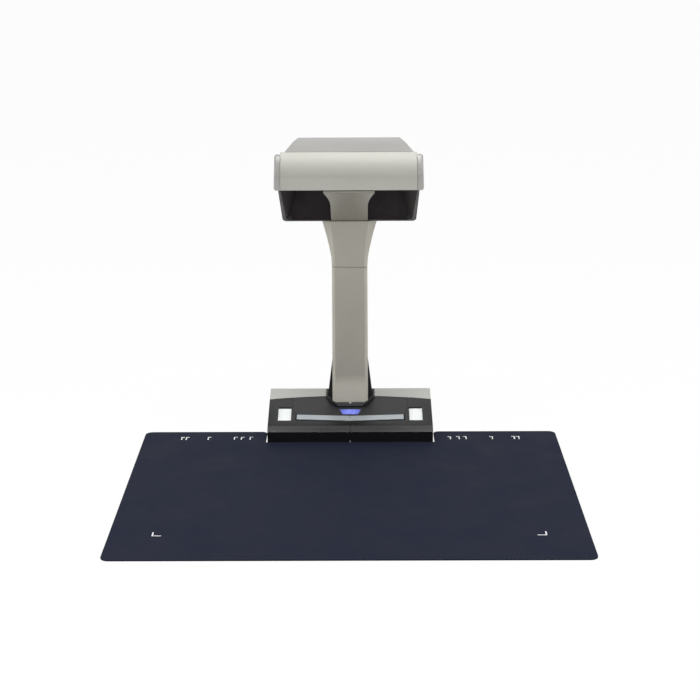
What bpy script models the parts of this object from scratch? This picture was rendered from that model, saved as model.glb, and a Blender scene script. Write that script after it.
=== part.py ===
"""Overhead book scanner with its loose background mat.

The base stands in the mat's notch, an arm rises from it, and the head at the top holds an optical drum
that sweeps the page. Lengths are in metres, +Z is up and the scanner faces -Y.
"""

import math

import bmesh
import bpy
from mathutils import Matrix

# Clearances
FIT = 0.0003
RUNNING_FIT = 0.00008
SCREW_FIT = 0.00015
BUTTON_GAP = 0.0004
ARM_GAP = 0.0005

# Background mat
MAT_WIDTH = 0.527
MAT_DEPTH = 0.402
MAT_THICKNESS = 0.0015
MAT_CORNER_RADIUS = 0.009
NOTCH_DEPTH = 0.039
NOTCH_CORNER_RADIUS = 0.007
NOTCH_SIDE_GAP = 0.0018
NOTCH_FRONT_GAP = 0.0005

# Base
BASE_WIDTH = 0.210
BASE_DEPTH = 0.097
BASE_WALL = 0.0022
FRONT_LIP_HEIGHT = 0.0146
BAND_DEPTH = 0.008
BAND_RISE = 0.0058
PANEL_SLOPE = math.radians(13.3)
FOOT_RADIUS = 0.007
FOOT_TIP_RADIUS = 0.0063
FOOT_HEIGHT = 0.0018
SKIRT_GAP = 0.0005
FOOT_INSET = 0.013
FLOOR_THICKNESS = 0.0025
BALLAST_THICKNESS = 0.004
BALLAST_MARGIN = 0.008
SPLIT_MARGIN = 0.0183
SPLIT_BOW = 0.0083
SCREW_RADIUS = 0.0016
SCREW_HEAD_RADIUS = 0.003
SCREW_HEAD_HEIGHT = 0.0014
SCREW_LENGTH = 0.006
FLOOR_SCREW_INSET = 0.026

# Panel, buttons, light and white references
PANEL_MARGIN = 0.0303
PANEL_CORNER_GAP = 0.0063
BAR_MARGIN = 0.00635
BAR_DEPTH = 0.0106
BAR_SHARE = 0.475
BAR_VEE = 0.0034
BAR_HEIGHT = 0.0045
BAR_PROUD = 0.0012
STOP_REAR_GAP = 0.0009
STOP_WIDTH = 0.0342
STOP_FLARE = 0.0013
STOP_DEPTH = 0.0042
STOP_SKIRT = 0.0025
STOP_BROW = 0.001
STOP_SLOPE = 0.0025
BUTTON_TRAVEL = 0.0008
LIGHT_SHARE = 0.724
LIGHT_DEPTH = 0.0112
LIGHT_FRONT_WIDTH = 0.0198
LIGHT_REAR_WIDTH = 0.0274
REFERENCE_WIDTH = 0.0168
REFERENCE_DEPTH = 0.0318
REFERENCE_FRONT_Y = 0.0202
REFERENCE_INSET = 0.0208
REFERENCE_THICKNESS = 0.0012
REFERENCE_LAP = 0.0015
COLLAR_HEIGHT = 0.0046
COLLAR_REAR_HEIGHT = 0.0014
COLLAR_WALL = 0.0022

# Boards and sockets
BOARD_THICKNESS = 0.0016
PANEL_BOARD_INSET = 0.01835
PANEL_BOARD_DROP = 0.0074
SWITCH_SIZE = 0.006
SWITCH_INSET = 0.02635
MAIN_BOARD_WIDTH = 0.056
MAIN_BOARD_DEPTH = 0.034
MAIN_BOARD_MARGIN = 0.0078
MAIN_BOARD_LIFT = 0.004
USB_WIDTH = 0.012
USB_HEIGHT = 0.011
USB_DEPTH = 0.016
USB_WALL = 0.0012
USB_TONGUE = 0.0036
USB_RECESS = 0.0064
USB_SHIFT = 0.015
DC_WIDTH = 0.010
DC_HEIGHT = 0.011
DC_DEPTH = 0.014
DC_BORE = 0.0032
DC_BORE_DEPTH = 0.0112
DC_PIN = 0.001
DC_SHIFT = 0.013

# Arm and neck
ARM_REAR_MARGIN = 0.007
ARM_DEPTH = 0.033
ARM_SPLIT = 0.018
ARM_FOOT_WIDTH = 0.046
ARM_WIDTH = 0.045
ARM_CHAMFER_WIDTH = 0.0038
ARM_CHAMFER_DEPTH = 0.0040
ARM_WALL = 0.002
ARM_COVER_BOTTOM = 0.024
FIN_WIDTH = 0.058
FIN_BOTTOM = 0.038
FIN_HEIGHT = 0.050
NECK_HEIGHT = 0.0595
NECK_WIDTH = 0.070
NECK_CHAMFER_WIDTH = 0.0112
NECK_CHAMFER_DEPTH = 0.0120
NECK_FLARE_START = 0.006
NECK_FLARE_POWER = 1.35
NECK_STEPS = 5
FRAME_WALL = 0.0016
ARM_FRAME_WIDTH = 0.028
ARM_FRAME_REAR_GAP = 0.0094
ARM_FRAME_SETBACK = 0.0056
ARM_FRAME_DROP = 0.017
ARM_FLANGE_WIDTH = 0.050
ARM_FLANGE_THICKNESS = 0.002
HARNESS_RADIUS = 0.0022
HARNESS_BEND = 0.008
HARNESS_STEPS = 3
CABLE_NOTCH = 0.010

# Head
HEAD_OVERHANG = 0.059
TOTAL_HEIGHT = 0.383
CROWN_RISE = 0.003664
VISOR_BAND = 0.0126
VISOR_FLARE = 0.0026
VISOR_RADIUS = 0.0428
VISOR_SWEEP = math.radians(45.9)
VISOR_STEPS = 8
VISOR_INSET = 0.003
VISOR_WALL = 0.0024
CAP_STEP = 0.005
HOUSING_WALL = 0.0022
HOOD_SKIN = 0.0026
HOUSING_REAR_MARGIN = 0.001
HOOD_DROP = 0.0613
HOUSING_CORNER = 0.006
CAP_WIDTH = 0.177
CAP_TAPER = 0.0011
CAP_REAR_Y = 0.046
CAP_RETURN = 0.010
CAP_SETBACK = 0.001
CAP_TOP_DROP = 0.0015
CAP_ROUNDING = 0.0018
RIM_FRONT_DROP = 0.008736
RIM_FALL = 0.0266
TOP_WALL = 0.0022
TOP_FRONT_INSET = 0.0106
TOP_REAR_INSET = 0.021
TOP_CROWN_Y = 0.006
TOP_REAR_RUN = 0.041
TOP_REAR_DROP = 0.002
TOP_REAR_EDGE = 0.004
TOP_FALL_REACH = 0.75
TOP_FALL = 0.25
TOP_RISE = 0.75
TOP_SHOULDER = 0.15
SCOOP_LEAN = 0.016
SCOOP_TOP_DROP = 0.008
SCOOP_TOP_INSET = 0.023
SCOOP_FOOT_GAP = 0.003
SCOOP_FOOT_RISE = 0.0052
SCOOP_FOOT_INSET = 0.0075
SCOOP_LEDGE = 0.0045
SCOOP_CORNER = 0.006
SCOOP_CORNER_STEPS = 4
SADDLE_WIDTH = 0.0456
SADDLE_FRONT_WIDTH = 0.062
SADDLE_FRONT_Y = -0.020
SADDLE_FLARE_Y = 0.016
SADDLE_FRONT_DROP = 0.0108
SADDLE_EDGE = 0.0025

# Optical drum and drive
DRUM_FRONT_GAP = 0.0027
DRUM_TOP_GAP = 0.006336
DRUM_RADIUS = 0.015
DRUM_WALL = 0.002
DRUM_LENGTH = 0.080
DRUM_FLAT = 0.0115
DRUM_END_THICKNESS = 0.002
DRUM_SHAFT_RADIUS = 0.004
HOME_TILT = math.radians(11.5)
SLOT_MARGIN = 0.005
SLOT_FRONT_REACH = 0.017
SLOT_REAR_REACH = 0.0195
LENS_RADIUS = 0.009
LENS_WALL = 0.002
LENS_LENGTH = 0.012
LENS_PROUD = 0.0035
GLASS_THICKNESS = 0.003
GLASS_BOW = 0.0009
LAMP_LENGTH = 0.024
LAMP_WIDTH = 0.006
LAMP_THICKNESS = 0.0022
LAMP_OFFSET = 0.026
SENSOR_LENGTH = 0.060
SENSOR_HEIGHT = 0.007
GEAR_MODULE = 0.0008
GEAR_TEETH = 40
PINION_TEETH = 12
GEAR_BACKLASH = 0.00035
GEAR_ADDENDUM = 0.00064
GEAR_DEDENDUM = 0.00092
FLANK_STEPS = 3
GEAR_WIDTH = 0.003
GEAR_SPREAD = 0.0001
SECTOR_BEFORE = 2
SECTOR_AFTER = 8
PINION_ANGLE = math.radians(20)
PINION_SHAFT_RADIUS = 0.0015
PRESSURE_ANGLE = math.radians(20)
BUSH_RADIUS = 0.006
FRAME_MARGIN = 0.007
FRAME_DROP = 0.016
FRAME_HEIGHT = 0.030
FRAME_FRONT_REACH = 0.008
FRAME_FLOOR_FRONT_Y = 0.004
MOTOR_RADIUS = 0.010
MOTOR_LENGTH = 0.012
MOTOR_FLANGE = 0.001
MOTOR_FLANGE_REACH = 0.015
MOTOR_FLANGE_WIDTH = 0.008
HEAD_BOARD_WIDTH = 0.070
HEAD_BOARD_DEPTH = 0.036
POST_SIZE = 0.005
POST_HEIGHT = 0.003
FRAME_SCREW_SPACING = 0.016

ROUND_STEPS = 32
PARTS = "book_scanner"
CUTTERS = "book_scanner_cutters"

# Derived places
BASE_FRONT_Y = (MAT_DEPTH - NOTCH_DEPTH - BASE_DEPTH) / 2
BAND_TOP = FRONT_LIP_HEIGHT + BAND_RISE
FLOOR_TOP = FOOT_HEIGHT + FIT + FLOOR_THICKNESS
BALLAST_TOP = FLOOR_TOP + FIT + BALLAST_THICKNESS
ARM_FRONT_Y = BASE_DEPTH - ARM_REAR_MARGIN - ARM_DEPTH
SPLIT_CENTRE_Y = BASE_DEPTH - SPLIT_MARGIN
SPLIT_END_Y = SPLIT_CENTRE_Y - SPLIT_BOW
PANEL_CORNER_Y = ARM_FRONT_Y - PANEL_CORNER_GAP
STOP_FRONT_Y = ARM_FRONT_Y - STOP_DEPTH - STOP_REAR_GAP
PANEL_ROOM = STOP_FRONT_Y - BAND_DEPTH - BAR_DEPTH - LIGHT_DEPTH
BAR_FRONT_Y = BAND_DEPTH + BAR_SHARE * PANEL_ROOM
LIGHT_FRONT_Y = BAND_DEPTH + BAR_DEPTH + LIGHT_SHARE * PANEL_ROOM
PANEL_WIDTH = BASE_WIDTH - 2 * PANEL_MARGIN
BAR_LENGTH = PANEL_WIDTH - 2 * BAR_MARGIN
REFERENCE_OFFSET = BASE_WIDTH / 2 - REFERENCE_INSET
PANEL_BOARD_WIDTH = BAR_LENGTH - 2 * PANEL_BOARD_INSET
SWITCH_SPACING = BAR_LENGTH - 2 * SWITCH_INSET
MAIN_BOARD_OFFSET = BASE_WIDTH / 2 - BASE_WALL - MAIN_BOARD_MARGIN - MAIN_BOARD_WIDTH / 2
USB_OFFSET = MAIN_BOARD_OFFSET - USB_SHIFT
DC_OFFSET = MAIN_BOARD_OFFSET + DC_SHIFT
ARM_REAR_Y = ARM_FRONT_Y + ARM_DEPTH
ARM_SPLIT_Y = ARM_FRONT_Y + ARM_SPLIT
ARM_WEB_Y = ARM_FRONT_Y + ARM_FRAME_SETBACK
ARM_FRAME_DEPTH = ARM_DEPTH - ARM_FRAME_SETBACK - ARM_FRAME_REAR_GAP
ARM_FRAME_TOP = TOTAL_HEIGHT - ARM_FRAME_DROP
TOP_FRONT_HEIGHT = TOTAL_HEIGHT - CROWN_RISE
CREASE_HEIGHT = TOP_FRONT_HEIGHT - VISOR_RADIUS * math.sin(VISOR_SWEEP)
LIP_HEIGHT = CREASE_HEIGHT - VISOR_BAND
HOUSING_BOTTOM = LIP_HEIGHT - HOOD_DROP
NECK_TOP = HOUSING_BOTTOM - FIT
SEAM_HEIGHT = NECK_TOP - NECK_HEIGHT
RIM_FRONT_HEIGHT = TOP_FRONT_HEIGHT - RIM_FRONT_DROP
RIM_REAR_HEIGHT = RIM_FRONT_HEIGHT - RIM_FALL
SCOOP_TOP_HEIGHT = LIP_HEIGHT - SCOOP_TOP_DROP
SADDLE_FRONT_HEIGHT = LIP_HEIGHT - SADDLE_FRONT_DROP
HOUSING_WIDTH = CAP_WIDTH - 2 * CAP_STEP
VISOR_WIDTH = HOUSING_WIDTH - 2 * VISOR_INSET
TOP_FRONT_WIDTH = HOUSING_WIDTH - 2 * TOP_FRONT_INSET
TOP_REAR_WIDTH = HOUSING_WIDTH - 2 * TOP_REAR_INSET
SCOOP_TOP_WIDTH = HOUSING_WIDTH - 2 * SCOOP_TOP_INSET
SCOOP_FOOT_WIDTH = HOUSING_WIDTH - 2 * SCOOP_FOOT_INSET
VISOR_CENTRE_Y = -HEAD_OVERHANG + VISOR_FLARE + VISOR_RADIUS
HOUSING_FRONT_Y = -HEAD_OVERHANG + VISOR_FLARE + VISOR_WALL + FIT
HOUSING_REAR_Y = ARM_REAR_Y + HOUSING_REAR_MARGIN
TOP_REAR_Y = HOUSING_REAR_Y - TOP_REAR_RUN
TOP_FRONT_Y = VISOR_CENTRE_Y - VISOR_RADIUS * math.cos(VISOR_SWEEP) + FIT
SCOOP_FOOT_Y = ARM_FRONT_Y - SCOOP_FOOT_GAP
SCOOP_TOP_Y = SCOOP_FOOT_Y - SCOOP_LEAN
GEAR_PITCH_RADIUS = GEAR_MODULE * GEAR_TEETH / 2
DRUM_REACH = max(DRUM_RADIUS, GEAR_PITCH_RADIUS)
DRUM_Y = HOUSING_FRONT_Y + HOUSING_WALL + DRUM_FRONT_GAP + DRUM_REACH
DRUM_HEIGHT = TOP_FRONT_HEIGHT - DRUM_TOP_GAP - DRUM_REACH
SLOT_WIDTH = DRUM_LENGTH + 2 * SLOT_MARGIN
SLOT_FRONT_Y = DRUM_Y - SLOT_FRONT_REACH
SLOT_REAR_Y = DRUM_Y + SLOT_REAR_REACH
FRAME_SPACING = DRUM_LENGTH + 2 * FRAME_MARGIN
FRAME_HALF = FRAME_SPACING / 2
FRAME_BOTTOM = DRUM_HEIGHT - FRAME_DROP
FRAME_TOP = FRAME_BOTTOM + FRAME_HEIGHT
FRAME_FRONT_Y = DRUM_Y - FRAME_FRONT_REACH
PINION_PITCH_RADIUS = GEAR_MODULE * PINION_TEETH / 2
GEAR_DISTANCE = GEAR_PITCH_RADIUS + PINION_PITCH_RADIUS + GEAR_SPREAD
PINION_Y = DRUM_Y + GEAR_DISTANCE * math.cos(PINION_ANGLE)
PINION_HEIGHT = DRUM_HEIGHT + GEAR_DISTANCE * math.sin(PINION_ANGLE)


def along(y):
    """Distance up the sloping panel of a point on its surface y behind the base's front."""
    return (y - BAND_DEPTH) / math.cos(PANEL_SLOPE)


def split_y(x):
    """Depth of the curved seam between the black front and the silver rear of the base."""
    half = BASE_WIDTH / 2
    return SPLIT_CENTRE_Y - (SPLIT_CENTRE_Y - SPLIT_END_Y) * (x / half) ** 2


def rim_height(y):
    """Height of the seam between the head's housing and its top cover."""
    share = (y - TOP_FRONT_Y) / (HOUSING_REAR_Y - TOP_FRONT_Y)
    return RIM_FRONT_HEIGHT + (RIM_REAR_HEIGHT - RIM_FRONT_HEIGHT) * share


def scoop_ceiling(y):
    """Height of the hood's inner ceiling."""
    share = (y - HOUSING_FRONT_Y) / (SCOOP_TOP_Y - HOUSING_FRONT_Y)
    return LIP_HEIGHT + (SCOOP_TOP_HEIGHT - LIP_HEIGHT) * share


def clear_scene():
    for obj in list(bpy.data.objects):
        bpy.data.objects.remove(obj, do_unlink=True)
    for name in (PARTS, CUTTERS):
        collection = bpy.data.collections.new(name)
        bpy.context.scene.collection.children.link(collection)


def finish(name, colour, roughness, metallic=0.0):
    material = bpy.data.materials.get(name) or bpy.data.materials.new(name)
    material.use_nodes = True
    shader = material.node_tree.nodes["Principled BSDF"]
    shader.inputs["Base Color"].default_value = (*colour, 1.0)
    shader.inputs["Roughness"].default_value = roughness
    shader.inputs["Metallic"].default_value = metallic
    return material


def empty(name, location, parent=None, rotation=(0, 0, 0)):
    obj = bpy.data.objects.new(name, None)
    bpy.data.collections[PARTS].objects.link(obj)
    obj.parent = parent
    obj.location = location
    obj.rotation_euler = rotation
    return obj


def part(name, mesh, material, parent, location=(0, 0, 0), rotation=(0, 0, 0)):
    obj = bpy.data.objects.new(name, mesh)
    mesh.materials.append(material)
    bpy.data.collections[PARTS].objects.link(obj)
    obj.parent = parent
    obj.location = location
    obj.rotation_euler = rotation
    return obj


def combine(target, mesh, parent, operation="DIFFERENCE"):
    """Cuts, joins or intersects a part with a hidden helper."""
    helper = bpy.data.objects.new(f"{target.name}_{operation.lower()}", mesh)
    bpy.data.collections[CUTTERS].objects.link(helper)
    helper.parent = parent
    helper.hide_render = True
    helper.display_type = "WIRE"
    modifier = target.modifiers.new(helper.name, "BOOLEAN")
    modifier.operation = operation
    modifier.object = helper
    return modifier


def smooth(obj):
    obj.data.shade_smooth()
    obj.data.set_sharp_from_angle(angle=math.radians(35))
    return obj


def mesh_from(bm):
    """Mesh of a closed shape, with its faces turned outwards."""
    bmesh.ops.recalc_face_normals(bm, faces=bm.faces)
    if bm.calc_volume(signed=True) < 0:
        bmesh.ops.reverse_faces(bm, faces=bm.faces)
    mesh = bpy.data.meshes.new("shape")
    bm.to_mesh(mesh)
    bm.free()
    return mesh


def box(size, centre=(0, 0, 0)):
    bm = bmesh.new()
    place = Matrix.Translation(centre) @ Matrix.Diagonal((*size, 1))
    bmesh.ops.create_cube(bm, size=1, matrix=place)
    return mesh_from(bm)


def span(low, high):
    """Box between two corners."""
    size = [b - a for a, b in zip(low, high)]
    centre = [(a + b) / 2 for a, b in zip(low, high)]
    return box(size, centre)


def cylinder(radius, low, high, axis="Z", centre=(0, 0), steps=ROUND_STEPS):
    """Cylinder from low to high along an axis, through a centre in the other two coordinates."""
    bm = bmesh.new()
    bmesh.ops.create_cone(
        bm, cap_ends=True, segments=steps, radius1=radius, radius2=radius, depth=high - low
    )
    mesh = mesh_from(bm)
    mesh.transform(placed(axis, (low + high) / 2, centre))
    return mesh


def placed(axis, middle, centre=(0, 0)):
    """Matrix that takes a shape drawn in XY, extruded along Z, to the plane square to an axis."""
    u, v = centre
    if axis == "X":
        turn = Matrix(((0, 0, 1), (1, 0, 0), (0, 1, 0)))
        return Matrix.Translation((middle, u, v)) @ turn.to_4x4()
    if axis == "Y":
        turn = Matrix(((1, 0, 0), (0, 0, -1), (0, 1, 0)))
        return Matrix.Translation((u, middle, v)) @ turn.to_4x4()
    return Matrix.Translation((u, v, middle))


def prism(outline, low, high, axis="Z", holes=()):
    """Flat outline extruded from low to high along an axis of the frame it is drawn in."""
    curve = bpy.data.curves.new("outline", "CURVE")
    curve.dimensions = "2D"
    curve.fill_mode = "BOTH"
    curve.extrude = (high - low) / 2
    for ring in (outline, *holes):
        spline = curve.splines.new("POLY")
        spline.points.add(len(ring) - 1)
        for point, (u, v) in zip(spline.points, ring):
            point.co = (u, v, 0, 1)
        spline.use_cyclic_u = True
    guide = bpy.data.objects.new("outline", curve)
    bpy.context.scene.collection.objects.link(guide)
    graph = bpy.context.evaluated_depsgraph_get()
    mesh = bpy.data.meshes.new_from_object(guide.evaluated_get(graph))
    bpy.data.objects.remove(guide)
    bm = bmesh.new()
    bm.from_mesh(mesh)
    bmesh.ops.remove_doubles(bm, verts=bm.verts, dist=1e-6)
    mesh = mesh_from(bm)
    mesh.transform(placed(axis, (low + high) / 2))
    mesh.shade_flat()
    return mesh


def loft(rings):
    """Closed solid through rings of equally many points."""
    bm = bmesh.new()
    rows = [[bm.verts.new(point) for point in ring] for ring in rings]
    for low, high in zip(rows, rows[1:]):
        for i, corner in enumerate(low):
            j = (i + 1) % len(low)
            bm.faces.new((corner, low[j], high[j], high[i]))
    bm.faces.new(list(reversed(rows[0])))
    bm.faces.new(rows[-1])
    return mesh_from(bm)


def turned(name, profile, material, parent, location=(0, 0, 0), rotation=(0, 0, 0), closed=False):
    """Piece turned about its own Z from a profile of (radius, height) points, top to bottom outside."""
    bm = bmesh.new()
    points = [bm.verts.new((radius, 0, height)) for radius, height in profile]
    pairs = list(zip(points, points[1:]))
    if closed:
        pairs.append((points[-1], points[0]))
    for start, end in pairs:
        bm.edges.new((start, end))
    mesh = bpy.data.meshes.new(name)
    bm.to_mesh(mesh)
    bm.free()
    obj = part(name, mesh, material, parent, location, rotation)
    screw = obj.modifiers.new("turn", "SCREW")
    screw.steps = ROUND_STEPS
    screw.render_steps = ROUND_STEPS
    screw.use_merge_vertices = True
    screw.merge_threshold = 1e-5
    screw.use_smooth_shade = True
    return obj


def rounded(corners, steps=4):
    """Outline through (u, v, radius) corners, each turned by an arc."""
    outline = []
    count = len(corners)
    for i, (u, v, radius) in enumerate(corners):
        if radius == 0:
            outline.append((u, v))
            continue
        before, after = corners[i - 1], corners[(i + 1) % count]
        a = math.atan2(before[1] - v, before[0] - u)
        b = math.atan2(after[1] - v, after[0] - u)
        turn = (b - a + math.pi) % math.tau - math.pi
        reach = radius / math.sin(abs(turn) / 2)
        middle = a + turn / 2
        cu, cv = u + reach * math.cos(middle), v + reach * math.sin(middle)
        sweep = math.pi - abs(turn)
        sign = math.copysign(1, turn)
        for k in range(steps + 1):
            angle = middle + math.pi + sign * sweep * (0.5 - k / steps)
            outline.append((cu + radius * math.cos(angle), cv + radius * math.sin(angle)))
    return outline


def inset(outline, distance):
    """Convex outline moved inwards, for an outline that runs clockwise or anticlockwise."""
    area = sum(a[0] * b[1] - b[0] * a[1] for a, b in zip(outline, outline[1:] + outline[:1]))
    side = math.copysign(distance, area)
    lines = []
    for (u0, v0), (u1, v1) in zip(outline, outline[1:] + outline[:1]):
        length = math.hypot(u1 - u0, v1 - v0)
        nu, nv = -(v1 - v0) / length, (u1 - u0) / length
        lines.append((nu, nv, nu * u0 + nv * v0 + side))
    result = []
    for i, (a, b, c) in enumerate(lines):
        d, e, f = lines[i - 1]
        det = a * e - b * d
        result.append(((c * e - b * f) / det, (a * f - c * d) / det))
    return result


def mirrored(half):
    """Outline symmetric about the first coordinate's zero, from its right half."""
    return half + [(-u, v) for u, v in reversed(half)]


FINISHES = {
    "silver": ((0.58, 0.57, 0.53), 0.34, 0.55),
    "head_grey": ((0.45, 0.45, 0.43), 0.45, 0.1),
    "hood_black": ((0.02, 0.018, 0.02), 0.25, 0.0),
    "panel_black": ((0.03, 0.03, 0.032), 0.42, 0.0),
    "button_silver": ((0.42, 0.47, 0.52), 0.3, 0.5),
    "key_black": ((0.012, 0.012, 0.012), 0.3, 0.0),
    "light_blue": ((0.2, 0.25, 0.95), 0.25, 0.0),
    "reference_white": ((0.86, 0.9, 0.88), 0.7, 0.0),
    "mat_navy": ((0.026, 0.029, 0.044), 0.85, 0.0),
    "steel": ((0.45, 0.45, 0.46), 0.35, 1.0),
    "rubber": ((0.02, 0.02, 0.02), 0.9, 0.0),
    "board_green": ((0.02, 0.12, 0.05), 0.5, 0.0),
    "component_black": ((0.02, 0.02, 0.022), 0.5, 0.0),
    "gear_white": ((0.75, 0.74, 0.7), 0.45, 0.0),
    "bronze": ((0.5, 0.32, 0.14), 0.4, 1.0),
    "glass": ((0.05, 0.06, 0.08), 0.05, 0.0),
    "lamp_white": ((0.85, 0.86, 0.82), 0.5, 0.0),
}


def material_of(name):
    colour, roughness, metallic = FINISHES[name]
    return finish(name, colour, roughness, metallic)


def make_mat(scanner):
    half = MAT_WIDTH / 2
    notch = BASE_WIDTH / 2 + NOTCH_SIDE_GAP
    rear = NOTCH_DEPTH
    front = NOTCH_DEPTH - MAT_DEPTH
    right = [
        (half, front, MAT_CORNER_RADIUS),
        (half, rear, MAT_CORNER_RADIUS),
        (notch, rear, NOTCH_CORNER_RADIUS),
        (notch, -NOTCH_FRONT_GAP, 0),
    ]
    left = [(-u, v, radius) for u, v, radius in reversed(right)]
    mesh = prism(rounded(right + left), 0, MAT_THICKNESS)
    part("scan_mat", mesh, material_of("mat_navy"), scanner)


def base_profile():
    """Side outline of the base, from the front skirt round to the rear skirt."""
    bottom = SKIRT_GAP
    rear_height = BAND_TOP + (BASE_DEPTH - BAND_DEPTH) * math.tan(PANEL_SLOPE)
    return [
        (0, bottom),
        (BASE_DEPTH, bottom),
        (BASE_DEPTH, rear_height),
        (BAND_DEPTH, BAND_TOP),
        (0, FRONT_LIP_HEIGHT),
    ]


def base_cavity():
    """Inside of the base covers, open below."""
    inner = inset(base_profile(), BASE_WALL)
    below = -BASE_WALL
    return [(inner[0][0], below), (inner[1][0], below), *inner[2:]]


def split_region(gap, far_y):
    """Plan region on one side of the curved seam, out to far_y."""
    reach = BASE_WIDTH / 2 + BASE_WALL
    steps = 12
    seam = []
    for i in range(steps + 1):
        x = reach * (2 * i / steps - 1)
        seam.append((x, split_y(x) + gap))
    return seam + [(reach, far_y), (-reach, far_y)]


def bar_edge(y, gap):
    """Right half of a V-shaped edge of the scan button, centre first, as (x, distance up the panel)."""
    half = BAR_LENGTH / 2 + max(gap, 0)
    return [(0, along(y) + gap), (half, along(y) + BAR_VEE + gap)]


def panel_opening():
    """Opening of the front covers for the control panel and the scan button."""
    front_centre, front_end = bar_edge(BAR_FRONT_Y, -BUTTON_GAP)
    half = BAR_LENGTH / 2 + BUTTON_GAP
    shoulder = front_end[1] + BAR_DEPTH + 2 * BUTTON_GAP
    right = [
        (half, front_end[1]),
        (half, shoulder),
        (PANEL_WIDTH / 2, along(PANEL_CORNER_Y)),
        (PANEL_WIDTH / 2, along(BASE_DEPTH)),
    ]
    return [front_centre] + mirrored(right)


def panel_outline():
    """Control panel behind the scan button."""
    half = BAR_LENGTH / 2 + BUTTON_GAP - FIT
    centre = along(BAR_FRONT_Y) + BAR_DEPTH + BUTTON_GAP
    right = [
        (half, centre + BAR_VEE),
        (PANEL_WIDTH / 2 - FIT, along(PANEL_CORNER_Y)),
        (PANEL_WIDTH / 2 - FIT, along(BASE_DEPTH)),
    ]
    return [(0, centre)] + mirrored(right)


def arm_opening(gap):
    """Plan outline of the arm's covers at the base, widened by a gap."""
    half = ARM_FOOT_WIDTH / 2
    fin = FIN_WIDTH / 2 + gap
    right = [
        (half - ARM_CHAMFER_WIDTH + gap / 2, ARM_FRONT_Y - gap),
        (half + gap, ARM_FRONT_Y + ARM_CHAMFER_DEPTH - gap / 2),
        (half + gap, ARM_SPLIT_Y - gap),
        (fin, ARM_SPLIT_Y - gap),
        (fin, ARM_REAR_Y + gap),
    ]
    return mirrored(right)


def stop_outline(gap, rear):
    """Stop button in the panel's frame, widened by a gap and ending at a rear distance."""
    front = along(STOP_FRONT_Y) - gap
    half = STOP_WIDTH / 2 + gap
    flare = STOP_FLARE * (rear - front) / STOP_DEPTH
    return mirrored([(half, front), (half + flare, rear)])


def reference_corner(side):
    """Middle of a white reference in the panel's frame."""
    middle = along(REFERENCE_FRONT_Y) + REFERENCE_DEPTH / 2
    return side * REFERENCE_OFFSET, middle


def make_front_covers(scanner, panel):
    for name, side in (("left", -1), ("right", 1)):
        ends = sorted((side * FIT / 2, side * BASE_WIDTH / 2))
        mesh = prism(base_profile(), *ends, axis="X")
        cover = part(f"front_cover_{name}", mesh, material_of("panel_black"), scanner)
        inner = sorted((-side * BASE_WALL, side * (BASE_WIDTH / 2 - BASE_WALL)))
        combine(cover, prism(base_cavity(), *inner, axis="X"), scanner)
        rear = prism(split_region(0, BASE_DEPTH + BASE_WALL), -BASE_WALL, BASE_DEPTH)
        combine(cover, rear, scanner)
        opening = prism(panel_opening(), -PANEL_BOARD_DROP, BASE_WALL)
        combine(cover, opening, panel)
        x, middle = reference_corner(side)
        window = box((REFERENCE_WIDTH, REFERENCE_DEPTH, 4 * BASE_WALL), (x, middle, 0))
        combine(cover, window, panel)
        top = -BASE_WALL - FIT
        size = (REFERENCE_WIDTH + 2 * REFERENCE_LAP, REFERENCE_DEPTH + 2 * REFERENCE_LAP, REFERENCE_THICKNESS)
        sheet = box(size, (x, middle, top - REFERENCE_THICKNESS / 2))
        part(f"white_reference_{name}", sheet, material_of("reference_white"), panel)


def make_control_panel(scanner, panel):
    mesh = prism(panel_outline(), -BASE_WALL, 0)
    plate = part("control_panel", mesh, material_of("panel_black"), panel)
    combine(plate, prism(split_region(-FIT, BASE_DEPTH + BASE_WALL), -BASE_WALL, BASE_DEPTH), scanner)
    combine(plate, prism(arm_opening(ARM_GAP), 0, BASE_DEPTH), scanner)
    stop_rear = along(ARM_FRONT_Y) + BASE_WALL
    combine(plate, prism(stop_outline(BUTTON_GAP, stop_rear), -2 * BASE_WALL, BASE_WALL), panel)
    combine(plate, prism(light_outline(FIT), -2 * BASE_WALL, BASE_WALL), panel)
    for side in (-1, 1):
        post_x = side * (PANEL_BOARD_WIDTH / 2 - POST_SIZE / 2)
        post_y = along(LIGHT_FRONT_Y) + LIGHT_DEPTH / 2
        post = span(
            (post_x - POST_SIZE / 2, post_y, -PANEL_BOARD_DROP + FIT),
            (post_x + POST_SIZE / 2, post_y + POST_SIZE, -BASE_WALL / 2),
        )
        combine(plate, post, panel, "UNION")


def light_outline(gap):
    front = along(LIGHT_FRONT_Y)
    right = [
        (LIGHT_FRONT_WIDTH / 2 + gap, front - gap),
        (LIGHT_REAR_WIDTH / 2 + gap, front + LIGHT_DEPTH + gap),
    ]
    return mirrored(right)


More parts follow.
